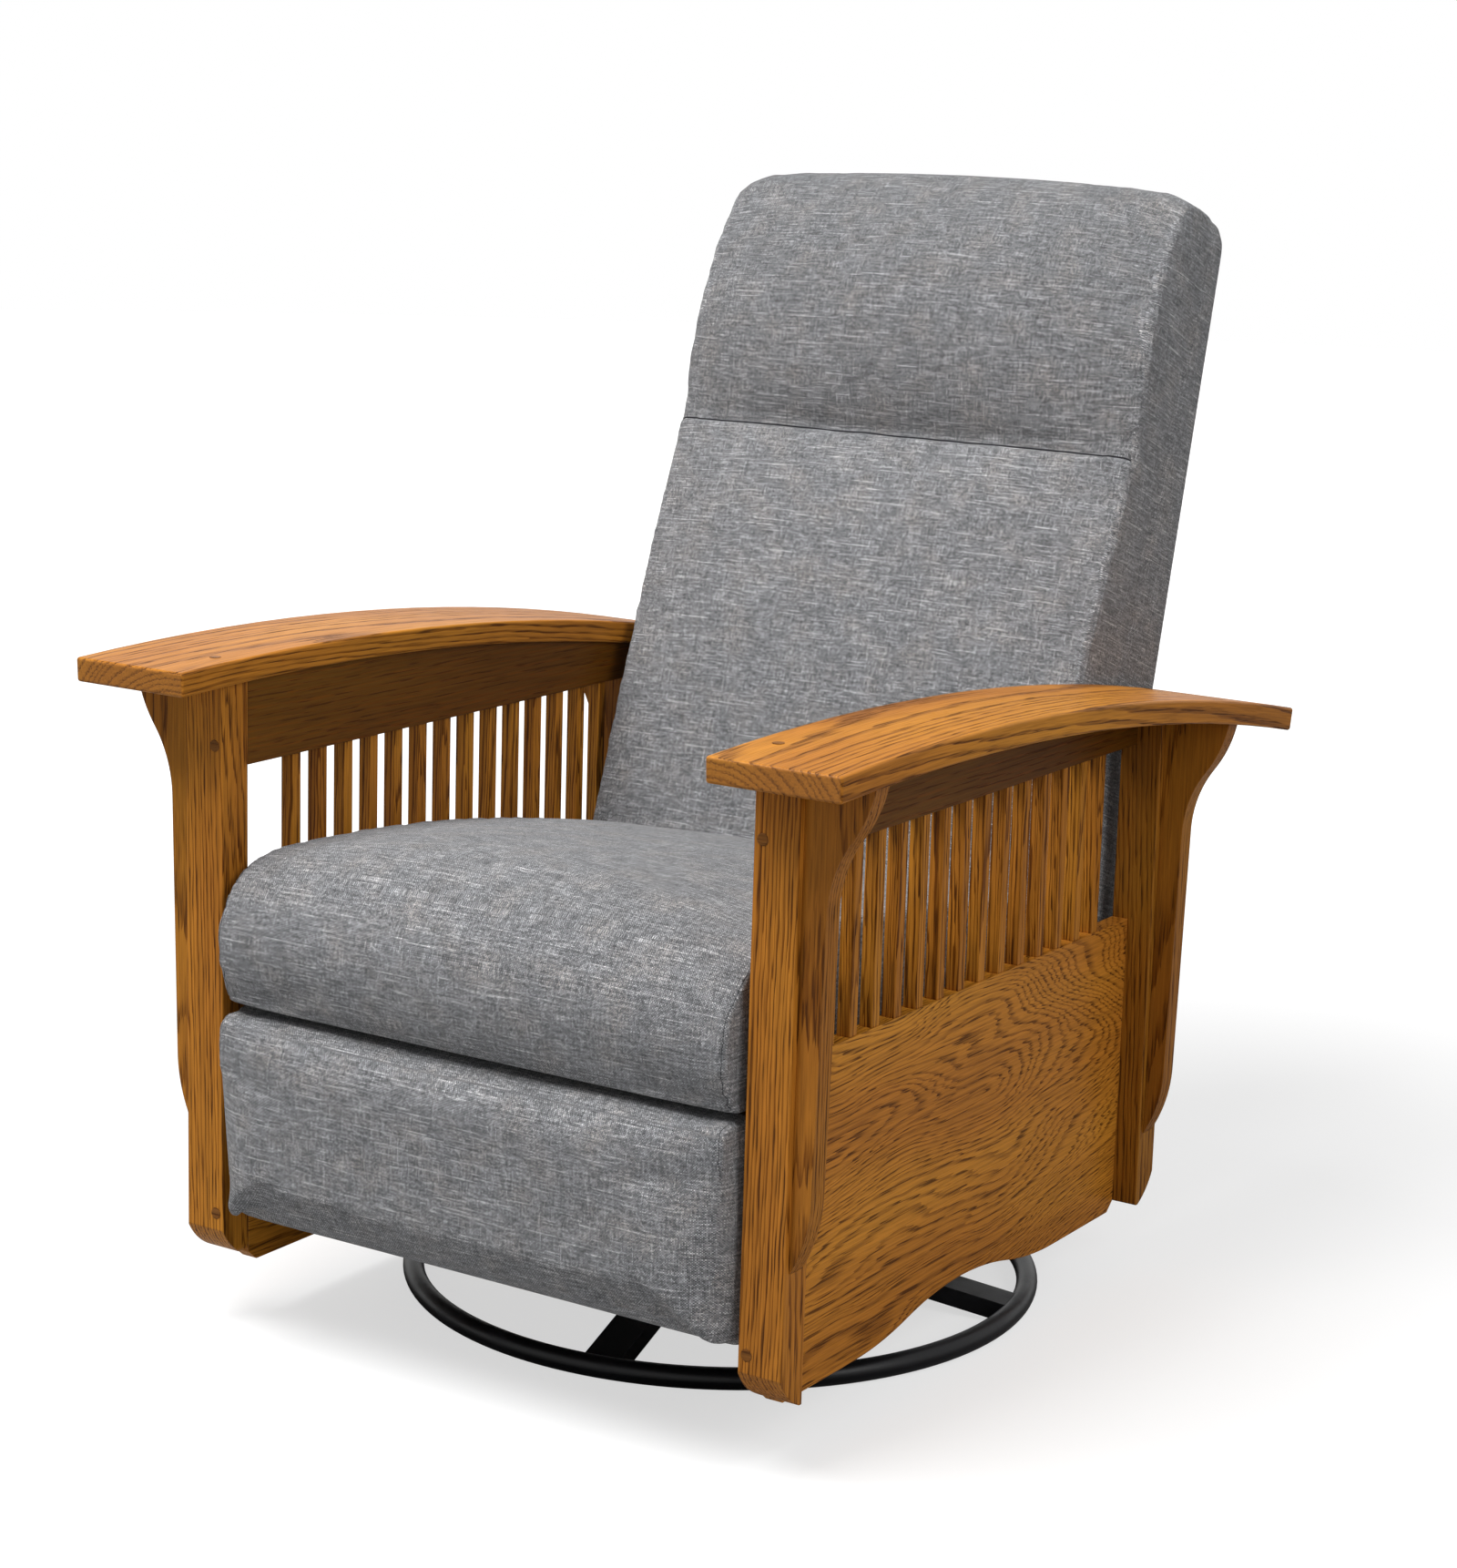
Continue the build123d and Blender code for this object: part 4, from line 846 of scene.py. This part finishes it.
def lay_cloth(piece, front, side, nap=None):
    """Writes the cloth's own coordinates to each corner: weft, warp and the painted shade of the head pad.

    front and side give weft and warp distances for points, and side says which faces it covers.
    The last one gives for points how far the cloth is drawn darker there, as painted shade on the head pad's
    front.
    """
    mesh = piece.data
    co = coordinates(mesh)
    loops = np.empty(len(mesh.loops), int)
    mesh.loops.foreach_get("vertex_index", loops)
    totals = np.empty(len(mesh.polygons), int)
    mesh.polygons.foreach_get("loop_total", totals)
    centres = np.empty(len(mesh.polygons) * 3)
    mesh.polygons.foreach_get("center", centres)
    facing = np.empty(len(mesh.polygons) * 3)
    mesh.polygons.foreach_get("normal", facing)
    on_side, side_weft, side_warp = side(centres.reshape(-1, 3), facing.reshape(-1, 3), co)
    weft, warp = front(co)
    flag = np.repeat(on_side, totals)
    data = np.zeros((len(loops), 3), np.float32)
    data[:, 0] = np.where(flag, side_weft[loops], weft[loops])
    data[:, 1] = np.where(flag, side_warp[loops] + SIDE_SHIFT, warp[loops])
    # Painted shade of the head pad; the sides get none
    if nap:
        data[:, 2] = np.where(flag, 0, nap(co)[loops])
    mesh.attributes.new("cloth", "FLOAT_VECTOR", "CORNER").data.foreach_set("vector", data.ravel())


def run_along(outline):
    """A function that gives each (a, b) point its distance along an outline."""
    steps_on_run, batch = 24, 4000
    outline = np.array(outline, float)
    dense = np.concatenate([
        start + (stop - start) * np.linspace(0, 1, steps_on_run, endpoint=False)[:, None]
        for start, stop in zip(outline, outline[1:])
    ])
    run = np.concatenate([[0], np.cumsum(np.linalg.norm(np.diff(dense, axis=0), axis=1))])

    def along(a, b):
        out = np.empty(len(a))
        points = np.stack([a, b], 1)
        for part in np.array_split(np.arange(len(a)), max(len(a) // batch, 1)):
            away = points[part, None, :] - dense[None, :, :]
            near = (away ** 2).sum(2).argmin(1)
            step_on = np.clip(near, 1, len(dense) - 2)
            way = dense[step_on + 1] - dense[step_on - 1]
            way /= np.linalg.norm(way, axis=1)[:, None]
            out[part] = run[step_on] + ((points[part] - dense[step_on]) * way).sum(1)
        return out

    return along


def seam_tube(name, paths, radius, material):
    """A round line along each path, for sewing thread in a seam and the painted shadow in its crease."""
    sides = 6
    form = bmesh.new()
    for path in paths:
        points = [Vector(p) for p in path]
        rings = []
        for k, point in enumerate(points):
            way = (points[min(k + 1, len(points) - 1)] - points[max(k - 1, 0)]).normalized()
            side = way.orthogonal().normalized() if not rings else (last - way * last.dot(way)).normalized()
            last = side
            up = way.cross(side)
            turns = [turn * 2 * math.pi / sides for turn in range(sides)]
            rings.append([
                form.verts.new(point + (side * math.cos(turn) + up * math.sin(turn)) * radius)
                for turn in turns
            ])
        for first, second in zip(rings, rings[1:]):
            for k in range(sides):
                after = (k + 1) % sides
                form.faces.new((first[k], first[after], second[after], second[k])).smooth = True
        form.faces.new(rings[0][::-1])
        form.faces.new(rings[-1])
    mesh = bpy.data.meshes.new(name)
    form.to_mesh(mesh)
    form.free()
    return new_piece(name, mesh, material)


def cloth_material(cloth):
    """Heathered grey cloth for every cushion and pad."""
    material, tree, shader = new_material(
        "grey_heather_cloth", Specular_IOR_Level=0.25, Sheen_Weight=0.12, Sheen_Roughness=0.5
    )
    laid = place(tree, "Attribute", attribute_name="cloth", attribute_type="GEOMETRY").outputs["Vector"]
    weft, warp, nap = split(tree, laid)
    weave = use_group(tree, "Heather weave", {
        "Weft": weft, "Warp": warp, "Pitch": cloth.pitch, "Weft Colour": rgba(cloth.weft),
        "Warp Colour": rgba(cloth.warp), "Warm Colour": rgba(cloth.warm), "Slub Colour": rgba(cloth.slub),
    })
    dust = use_group(tree, "Dust", {"Scale": 14.0})
    light = step(tree, dust["Dust"], 0.0, 1.0, 0.97, 1.06)
    # Painted shade: darkens the head pad's front by the given share
    light = times(tree, light, times_plus(tree, nap, -cloth.head_painted_shade, 1.0))
    tint = place(tree, "HueSaturation", {"Value": light, "Color": weave["Colour"]}).outputs[0]
    feed(tree, shader, tint, step(tree, weave["Height"], 0.0, 1.4, 0.98, 0.84))
    bumped(tree, shader, weave["Height"], cloth.relief, strength=0.75)
    return material


def thread_and_seam_shadow_material(cloth):
    """Dark twisted sewing thread. Drawn near black, it also paints the shadow in the seam's crease."""
    material, tree, shader = new_material("seam_thread_and_shadow", Roughness=0.9, Specular_IOR_Level=0.2)
    twist = cloudy(tree, spot_on(tree), 1.0, 900.0)
    tone = mixed(tree, twist, shaded(cloth.thread, 0.45), rgba(cloth.thread))
    tree.links.new(tone, shader.inputs["Base Color"])
    bumped(tree, shader, twist, 0.0002)
    return material


def upholster(
    name, nodes, body, seams, held_where, bounds, front, side,
    bridges=(), core=(), rounds=4, cross_seam=None, nap=None,
):
    """Covers the given CAD solids with one filled and sewn cushion.

    A thin line of thread and painted crease shadow shows in every seam, or where a cross seam is named, a
    thicker one in that alone.
    """
    scene = bpy.context.scene
    filling = scene.recliner_filling
    piece = skin(name, nodes, filling.voxel, bridges, core)
    soften(piece.data, rounds)
    tree = surface(piece.data)
    paths = [laid_on(tree, path) for path in seams]
    co = coordinates(piece.data)
    held = held_where(co, normals(piece.data)) | (distance_to(co, paths) < filling.voxel * 0.8)
    fill(piece, filling, held, bounds)
    tree = surface(piece.data)
    paths = [laid_on(tree, path) for path in seams]
    sew(piece, filling, paths)
    # The cloth coordinates also carry the head pad's painted shade
    lay_cloth(piece, front, side, nap)
    piece.data.materials.clear()
    piece.data.materials.append(
        bpy.data.materials.get("grey_heather_cloth") or cloth_material(scene.recliner_cloth)
    )
    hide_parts(*nodes)
    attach(piece, body)
    # Seam lines: thread and the painted shadow in each seam's crease
    thread = bpy.data.materials.get("seam_thread_and_shadow") or thread_and_seam_shadow_material(scene.recliner_cloth)
    tree = surface(piece.data)
    radius = filling.side_thread_and_shadow
    if cross_seam is not None:
        paths, radius = [paths[cross_seam]], filling.thread_and_shadow_radius
    lines = seam_tube(name + "_seams", [laid_on(tree, path) for path in paths], radius, thread)
    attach(lines, body)


def kept_in(low, high):
    """Bounds that hold points inside a box."""
    low, high = np.array(low), np.array(high)
    return lambda co: np.clip(co, low, high)


# Operators


class RECLINER_OT_patterns(bpy.types.Operator):
    """Builds the shared patterns: wood grain, eased edges, dust and weave"""

    bl_idname = "recliner.patterns"
    bl_label = "Patterns"
    bl_options = {"REGISTER", "UNDO"}

    def execute(self, context):
        grain_group()
        edge_group()
        dust_group()
        weave_group()
        return {"FINISHED"}


class RECLINER_OT_oak_frames(bpy.types.Operator):
    """Stains and lacquers the oak side frames, the rear stretcher and the screw plugs"""

    bl_idname = "recliner.oak_frames"
    bl_label = "Oak frames"
    bl_options = {"REGISTER", "UNDO"}

    def execute(self, context):
        finish = context.scene.recliner_oak
        number = 0
        for hand, side in (("left", 1.0), ("right", -1.0)):
            for board, cut in BOARDS.items():
                number += 1
                name = f"{hand}_{board}"
                finish_node(name, oak(f"oak_{name}", finish, cut, side, number * 0.37))
        finish_node("rear_stretcher", oak("oak_rear_stretcher", finish, STRETCHER, 1.0, 9.1))
        finish_node("wood_plugs", oak("oak_plugs", finish, PLUGS, 1.0, 4.2, pale=finish.plug))
        return {"FINISHED"}


class RECLINER_OT_metalwork(bpy.types.Operator):
    """Finishes the black base, the plated mechanism, the bearing and the nylon pads"""

    bl_idname = "recliner.metalwork"
    bl_label = "Metalwork"
    bl_options = {"REGISTER", "UNDO"}

    def powder_coat(self, metal):
        """Satin black powder coat with a fine orange peel."""
        material, tree, shader = new_material(
            "black_powder_coat", Specular_IOR_Level=0.2, Coat_Weight=0.08, Coat_Roughness=0.3
        )
        dust = use_group(tree, "Dust", {"Scale": 26.0})
        edge = use_group(tree, "Eased edge", {"Radius": 0.0012})
        paler = shaded(metal.coat, 3.2)
        coat = mixed(tree, times(tree, dust["Dust"], 0.35), rgba(metal.coat), paler)
        coat = mixed(tree, times(tree, edge["Worn"], 0.3), coat, paler)
        feed(tree, shader, coat, step(tree, dust["Dust"], 0.0, 1.0, 0.36, 0.5))
        bumped(tree, shader, dust["Speckle"], 0.0002, edge["Normal"], 0.5)
        return material

    def plated(self, name, tone, rough, spangle):
        """Plated or ground steel with fine crystals and darker handling."""
        material, tree, shader = new_material(name, Metallic=1.0)
        dust = use_group(tree, "Dust", {"Scale": 40.0})
        edge = use_group(tree, "Eased edge", {"Radius": 0.0008})
        crystals = place(tree, "TexVoronoi", {"Vector": spot_on(tree), "Scale": spangle}).outputs[1]
        flake = split(tree, crystals)[0]
        dull = times_plus(tree, dust["Dust"], 0.5, times(tree, flake, 0.25))
        gloss = times_plus(tree, flake, 0.1, times_plus(tree, dust["Dust"], 0.15, rough))
        feed(tree, shader, mixed(tree, dull, rgba(tone), shaded(tone, 0.6)), gloss)
        bumped(tree, shader, dust["Speckle"], 0.0001, edge["Normal"], 0.4)
        return material

    def nylon(self, metal):
        """Moulded natural nylon, rubbed by the slide."""
        material, tree, shader = new_material("natural_nylon", Subsurface_Weight=0.1, Subsurface_Scale=0.002)
        dust = use_group(tree, "Dust", {"Scale": 60.0})
        tone = mixed(tree, dust["Dust"], rgba(metal.nylon), shaded(metal.nylon, 0.8))
        feed(tree, shader, tone, step(tree, dust["Speckle"], 0.3, 0.7, 0.42, 0.55))
        bumped(tree, shader, dust["Speckle"], 0.0001)
        return material

    def execute(self, context):
        metal = context.scene.recliner_metal
        finishes = {
            "black_steel": self.powder_coat(metal),
            "zinc_steel": self.plated("zinc_plated_steel", tuple(metal.zinc), 0.34, 320.0),
            "bearing_steel": self.plated("bearing_steel", tuple(metal.bearing), 0.24, 900.0),
            "nylon": self.nylon(metal),
        }
        for part in frame["record"]["subparts"]:
            if part["material_slot"] in finishes:
                finish_node(part["node"], finishes[part["material_slot"]])
        return {"FINISHED"}


class RECLINER_OT_inner_frame(bpy.types.Operator):
    """Finishes the inner wood, the plywood board and the webbing"""

    bl_idname = "recliner.inner_frame"
    bl_label = "Inner frame"
    bl_options = {"REGISTER", "UNDO"}

    def poplar(self, name, inner, axis, board):
        """Plain planed poplar."""
        material, tree, shader = new_material(name, Specular_IOR_Level=0.3)
        cut = Cut(axis, (0.1, 0.05), 0.03, 0.03, 1.0, 0.6, 1.0)
        tones = (inner.poplar, inner.poplar_ring, inner.poplar_ring)
        grain = grain_of(tree, cut, 1.0, board, 0.005, *tones)
        edge = use_group(tree, "Eased edge", {"Radius": 0.0015})
        feed(tree, shader, grain["Colour"], times_plus(tree, grain["Pores"], 0.1, 0.62))
        bumped(tree, shader, grain["Height"], 0.0002, edge["Normal"])
        return material

    def plywood(self, inner):
        """Birch plywood: plain faces and striped edges."""
        material, tree, shader = new_material("birch_plywood", Specular_IOR_Level=0.3)
        spot = tree.nodes.new("ShaderNodeTexCoord").outputs
        cut = Cut("X", (-0.3, 0.1), 0.1, 0.06, 1.0, 0.4, 1.0)
        tones = (inner.birch, inner.poplar_ring, inner.poplar_ring)
        grain = grain_of(tree, cut, 1.0, 2.6, 0.012, *tones)
        layer = maths(tree, "DIVIDE", split(tree, spot["Object"])[1], inner.veneer)
        middle = minus(tree, maths(tree, "FRACT", layer), 0.5)
        line = step(tree, maths(tree, "ABSOLUTE", middle), 0.36, 0.46)
        turn = maths(tree, "ABSOLUTE", maths(tree, "MODULO", maths(tree, "FLOOR", layer), 2.0))
        sides = mixed(tree, turn, rgba(inner.birch), shaded(inner.birch, 0.7))
        sides = mixed(tree, times(tree, line, 0.7), sides, rgba(inner.glue))
        flat = step(tree, maths(tree, "ABSOLUTE", split(tree, spot["Normal"])[1]), 0.5, 0.8)
        tone = mixed(tree, flat, sides, grain["Colour"])
        feed(tree, shader, tone, times_plus(tree, grain["Pores"], 0.1, 0.6))
        bumped(tree, shader, grain["Height"], 0.0002)
        return material

    def webbing(self, inner):
        """Ribbed elastic webbing with some coloured yarn."""
        material, tree, shader = new_material("elastic_webbing", Specular_IOR_Level=0.25)
        x, _, z = split(tree, spot_on(tree))
        weave = use_group(tree, "Heather weave", {
            "Weft": x, "Warp": z, "Pitch": 0.0016, "Weft Colour": rgba(inner.webbing),
            "Warp Colour": shaded(inner.webbing, 0.5), "Warm Colour": rgba(inner.webbing_stripe),
            "Slub Colour": shaded(inner.webbing, 2.5), "Slubs": 0.3,
        })
        feed(tree, shader, weave["Colour"], step(tree, weave["Height"], 0.0, 1.4, 0.9, 0.7))
        bumped(tree, shader, weave["Height"], 0.0006)
        return material

    def execute(self, context):
        inner = context.scene.recliner_inner
        finish_node("seat_frame_rails", self.poplar("poplar_seat_rails", inner, "X", 1.3))
        finish_node("back_side_boards", self.poplar("poplar_back_boards", inner, "Z", 3.7))
        finish_node("back_cross_rails", self.poplar("poplar_cross_rails", inner, "X", 5.9))
        finish_node("leg_rest_board", self.plywood(inner))
        finish_node("back_webbing", self.webbing(inner))
        return {"FINISHED"}


class RECLINER_OT_seat_cushion(bpy.types.Operator):
    """Fills and sews the crowned seat cushion with its boxed sides"""

    bl_idname = "recliner.seat_cushion"
    bl_label = "Seat cushion"
    bl_options = {"REGISTER", "UNDO"}

    # The side seam from the rear over the crown and down the nose, as Y and Z
    seam_line = [
        (0.137, 0.43), (-0.062, 0.458), (-0.3, 0.489), (-0.37, 0.488), (-0.42, 0.47), (-0.459, 0.431),
        (-0.467, 0.397), (-0.464, 0.366), (-0.45, 0.342),
    ]
    rear_start = (0.137, 0.3)
    under_end = (0.0, 0.33)

    # The rim at the rear and the foot that isn't filled (m)
    held_rim = 0.012

    def execute(self, context):
        low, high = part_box("seat_cushion")
        inset = context.scene.recliner_filling.seam_inset
        track = evenly(self.seam_line, 120)
        seams = [
            np.column_stack([np.full(len(track), x), track]) for x in (low.x + inset, high.x - inset)
        ]
        run = run_along([self.rear_start, *self.seam_line, self.under_end])

        def held(co, facing):
            rear, foot = co[:, 1] > high.y - self.held_rim, co[:, 2] < low.z + self.held_rim
            return (facing[:, 2] < -0.6) | rear | foot

        bounds = kept_in((low.x - 0.003, low.y - 0.006, low.z), (high.x + 0.003, high.y, high.z + 0.006))

        def front(co):
            return co[:, 0], run(co[:, 1], co[:, 2])

        def side(centres, facing, co):
            return np.abs(centres[:, 0]) > high.x - inset, co[:, 1], co[:, 2]

        upholster("seat_cushion_cover", ["seat_cushion"], "seat", seams, held, bounds, front, side)
        return {"FINISHED"}


class RECLINER_OT_back(bpy.types.Operator):
    """Fills and sews the back: head pad, lower pad and the cloth over its sides and rear"""

    bl_idname = "recliner.back"
    bl_label = "Back upholstery"
    bl_options = {"REGISTER", "UNDO"}

    nodes = ["lower_back_cushion", "headrest_cushion", "outside_back"]

    # All places on the back are heights up it and depths behind its front (m)
    head_seam = 0.462
    seam_line = [
        (-0.038, 0.012), (0.06, 0.008), (0.22, -0.004), (0.3, -0.001), (0.4, 0.006), (0.464, 0.012),
        (0.53, 0.002), (0.59, -0.009), (0.645, -0.014), (0.684, -0.012), (0.714, 0.004), (0.74, 0.032),
        (0.752, 0.07), (0.756, 0.105),
    ]
    outline = [
        (-0.04, 0.068), (-0.038, 0.0), (0.06, -0.004), (0.23, -0.012), (0.4, -0.006), (0.462, 0.004),
        (0.48, -0.002), (0.556, -0.033), (0.645, -0.038), (0.708, -0.018), (0.749, 0.02), (0.77, 0.07),
        (0.755, 0.112), (-0.04, 0.2),
    ]

    # The rounded top corner: where it starts, how high it rises and how far it goes in
    corner_start, corner_rise, corner_in = 0.722, 0.045, 0.03

    # How far the cover may reach down, up, forward and to the rear
    low_end, high_end = -0.0405, 0.778
    front_most, rear_most = -0.048, 0.21

    # The cover below held_foot and behind held_depth isn't filled
    held_foot, held_depth = -0.025, 0.085

    # The cloth of the sides ends at side_top, and the painted shade on the head pad's front fades out before
    # the given depth behind the front
    side_top = 0.756
    nap_depth, nap_fade = 0.1, 0.03

    # The core between the pads and the rear, as height, distance in from the side, and rear face
    core_levels = ((-0.038, 0.005, 0.2), (0.715, 0.005, 0.112), (0.757, 0.046, 0.107))
    core_front = 0.06

    def corner(self, height):
        """How far the rounded top corner stands in from the side at this height."""
        share = np.clip((height - self.corner_start) / self.corner_rise, 0, 0.98)
        return self.corner_in * (1 - np.sqrt(1 - share ** 2))

    def seams(self, half):
        """The two side seams and the seam under the head pad."""
        paths = []
        for hand in (-1, 1):
            track = [(hand * (half - self.corner(up)), up, depth) for up, depth in self.seam_line]
            paths.append(from_back(evenly(track, 160)))
        across = np.linspace(-half + 0.004, half - 0.004, 120)
        sunk = 0.01 * (np.abs(across) / half) ** 12
        paths.append(from_back(np.column_stack([across, np.full(120, self.head_seam), sunk])))
        return paths

    def execute(self, context):
        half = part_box("headrest_cushion")[1].x
        run = run_along(self.outline)

        def held(co, facing):
            _, up, depth = to_back(co).T
            in_seam = (np.abs(up - self.head_seam) < 0.008) & (depth < 0.03)
            return (up < self.held_foot) | (depth > self.held_depth) | in_seam

        def bounds(co):
            low = (-half - 0.002, self.low_end, self.front_most)
            high = (half + 0.002, self.high_end, self.rear_most)
            return from_back(np.clip(to_back(co), low, high))

        def front(co):
            aside, up, depth = to_back(co).T
            return aside, run(up, depth)

        def side(centres, facing, co):
            aside, up, depth = to_back(centres).T
            behind = depth > np.interp(up, *zip(*self.seam_line))
            outside = np.abs(aside) > half - self.corner(up) - 0.02
            on = outside & behind & (up < self.side_top) & (np.abs(facing[:, 0]) > 0.25)
            _, up, depth = to_back(co).T
            return on, depth, up

        # Painted shade over the head pad's front, above the cross seam, fading out towards the rear
        def nap(co):
            _, up, depth = to_back(co).T
            above = np.clip((up - self.head_seam) / 0.01 + 0.5, 0, 1)
            return above * np.clip((self.nap_depth - depth) / self.nap_fade, 0, 1)

        rear = back_frame()[2]
        bridges = [
            ("outside_back", -0.007 * rear),
            ("headrest_cushion", 0.009 * rear),
            ("lower_back_cushion", 0.005 * rear),
        ]
        core = from_back(np.array([
            (hand * (half - inside), up, behind)
            for up, inside, rear_face in self.core_levels
            for hand in (-1, 1)
            for behind in (self.core_front, rear_face)
        ]))
        upholster(
            "back_cushion_cover", self.nodes, "back", self.seams(half), held, bounds, front, side,
            bridges=bridges, core=core, rounds=6, cross_seam=2, nap=nap,
        )
        return {"FINISHED"}


class RECLINER_OT_leg_rest_pad(bpy.types.Operator):
    """Fills and sews the leg rest pad with its folded corners"""

    bl_idname = "recliner.leg_rest_pad"
    bl_label = "Leg rest pad"
    bl_options = {"REGISTER", "UNDO"}

    # The fold at a top front corner: beside the seam, behind the front and below the top
    fold = ((-0.004, 0.03, 0.0), (0.0, 0.01, 0.003), (0.002, 0.003, 0.02), (0.006, 0.006, 0.05))

    # The rim at the rear that isn't filled (m)
    held_rear = 0.014

    def execute(self, context):
        low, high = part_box("leg_rest_pad")
        x = high.x - context.scene.recliner_filling.seam_inset
        folds = [
            evenly([(hand * (x + aside), low.y + back, high.z - down) for aside, back, down in self.fold], 40)
            for hand in (-1, 1)
        ]
        run = run_along([(high.y, high.z), (low.y, high.z), (low.y, low.z), (high.y, low.z)])

        def held(co, facing):
            return co[:, 1] > high.y - self.held_rear

        bounds = kept_in(
            (low.x - 0.002, low.y - 0.006, low.z - 0.003), (high.x + 0.002, high.y, high.z + 0.0015)
        )

        def front(co):
            return co[:, 0], run(co[:, 1], co[:, 2])

        def side(centres, facing, co):
            return np.abs(facing[:, 0]) > 0.72, co[:, 1], co[:, 2]

        upholster("leg_rest_pad_cover", ["leg_rest_pad"], "leg_rest", folds, held, bounds, front, side)
        return {"FINISHED"}


class RECLINER_OT_stage(bpy.types.Operator):
    """Sets up the pale floor, the soft lamps and the camera"""

    bl_idname = "recliner.stage"
    bl_label = "Stage"
    bl_options = {"REGISTER", "UNDO"}

    aim = Vector((-0.0076, 0.0, 0.5235))
    lamp_aim = Vector((0, 0, 0.5))
    floor_radius = 14.0

    def floor(self, studio):
        """A wide plain floor that shows as white and keeps the chair's shadow."""
        form = bmesh.new()
        bmesh.ops.create_circle(form, cap_ends=True, radius=self.floor_radius, segments=96)
        mesh = bpy.data.meshes.new("studio_floor")
        form.to_mesh(mesh)
        form.free()
        material, tree, shader = new_material("studio_floor", Roughness=0.9, Specular_IOR_Level=0.1)
        spot = spot_on(tree)
        tone = mixed(tree, cloudy(tree, spot, 2.0, 0.7), rgba(studio.floor), shaded(studio.floor, 0.985))
        tree.links.new(tone, shader.inputs["Base Color"])
        seen = tree.nodes.new("ShaderNodeLightPath").outputs["Is Camera Ray"]
        away = place(tree, "VectorMath", {0: spot}, operation="LENGTH").outputs["Value"]
        strength = times(tree, seen, step(tree, away, 1.0, 2.6, 0.62, 1.0))
        glow = place(tree, "Emission", {"Color": WHITE, "Strength": strength})
        both = place(tree, "AddShader", {0: shader.outputs[0], 1: glow.outputs[0]})
        tree.links.new(both.outputs[0], tree.nodes["Material Output"].inputs["Surface"])
        new_piece("studio_floor", mesh, material)

    def room(self, scene, studio):
        """Even room light that the camera and polished metal see as white."""
        world = bpy.data.worlds.new("studio_room")
        scene.world = world
        world.use_nodes = True
        tree = world.node_tree
        path = tree.nodes.new("ShaderNodeLightPath").outputs
        mirrored = maths(tree, "MAXIMUM", path["Is Glossy Ray"], path["Is Transmission Ray"])
        seen = maths(tree, "MAXIMUM", path["Is Camera Ray"], mirrored)
        background = tree.nodes["Background"].inputs
        background["Color"].default_value = WHITE
        tree.links.new(times_plus(tree, seen, 1.0 - studio.sky, studio.sky), background["Strength"])

    def lamp(self, scene, name, watts, place_at, size):
        """One soft square lamp that shines at the chair."""
        data = bpy.data.lights.new(name, "AREA")
        data.shape = "RECTANGLE"
        data.size, data.size_y = size
        data.energy = watts
        lamp = bpy.data.objects.new(name, data)
        scene.collection.objects.link(lamp)
        lamp.location = place_at
        lamp.rotation_euler = (self.lamp_aim - Vector(place_at)).to_track_quat("-Z", "Y").to_euler()

    def camera(self, scene, studio):
        """The camera at the photograph's viewing angle."""
        az, el, roll = studio.azimuth, studio.elevation, studio.roll
        back = Vector((math.sin(az) * math.cos(el), -math.cos(az) * math.cos(el), math.sin(el)))
        right = (-back).cross(Vector((0, 0, 1))).normalized()
        up = right.cross(-back)
        turned_right = math.cos(roll) * right + math.sin(roll) * up
        turned_up = -math.sin(roll) * right + math.cos(roll) * up
        data = bpy.data.cameras.new("studio_camera")
        data.sensor_fit = "HORIZONTAL"
        data.sensor_width = 36.0
        data.lens = studio.lens
        data.clip_end = 100.0
        camera = bpy.data.objects.new("studio_camera", data)
        scene.collection.objects.link(camera)
        turn = Matrix((turned_right, turned_up, back)).transposed().to_4x4()
        camera.matrix_world = Matrix.Translation(self.aim + back * studio.distance) @ turn
        scene.camera = camera

    def execute(self, context):
        scene = context.scene
        studio = scene.recliner_studio
        self.floor(studio)
        self.room(scene, studio)
        self.lamp(scene, "key_lamp", studio.key, (-0.65, -1.7, 3.65), (2.4, 2.0))
        self.lamp(scene, "top_lamp", studio.top, (0.2, 0.3, 3.6), (2.6, 2.6))
        self.lamp(scene, "side_lamp", studio.fill, (3.2, -0.9, 2.3), (1.8, 2.2))
        self.camera(scene, studio)
        scene.view_settings.view_transform = "Standard"
        return {"FINISHED"}


STEPS = (
    RECLINER_OT_patterns,
    RECLINER_OT_oak_frames,
    RECLINER_OT_metalwork,
    RECLINER_OT_inner_frame,
    RECLINER_OT_seat_cushion,
    RECLINER_OT_back,
    RECLINER_OT_leg_rest_pad,
    RECLINER_OT_stage,
)


class RECLINER_PT_maker(bpy.types.Panel):
    """Lists the steps and their sizes and colours."""

    bl_idname = "RECLINER_PT_maker"
    bl_label = "Mission recliner"
    bl_space_type = "VIEW_3D"
    bl_region_type = "UI"
    bl_category = "Recliner"

    def draw(self, context):
        for step_class in STEPS:
            self.layout.operator(step_class.bl_idname)
        for name, group in PROPERTIES.items():
            box = self.layout.box()
            box.label(text=group.__doc__)
            for prop in group.__annotations__:
                box.prop(getattr(context.scene, name), prop)


CLASSES = (*PROPERTIES.values(), *STEPS, RECLINER_PT_maker)


def register():
    for each in CLASSES:
        bpy.utils.register_class(each)
    for name, group in PROPERTIES.items():
        setattr(bpy.types.Scene, name, PointerProperty(type=group))


def unregister():
    for name in PROPERTIES:
        delattr(bpy.types.Scene, name)
    for each in reversed(CLASSES):
        bpy.utils.unregister_class(each)


def main():
    """Makes the chair's looks step by step."""
    register()
    for step_class in STEPS:
        area, name = step_class.bl_idname.split(".")
        getattr(getattr(bpy.ops, area), name)()


if __name__ == "__main__":
    main()
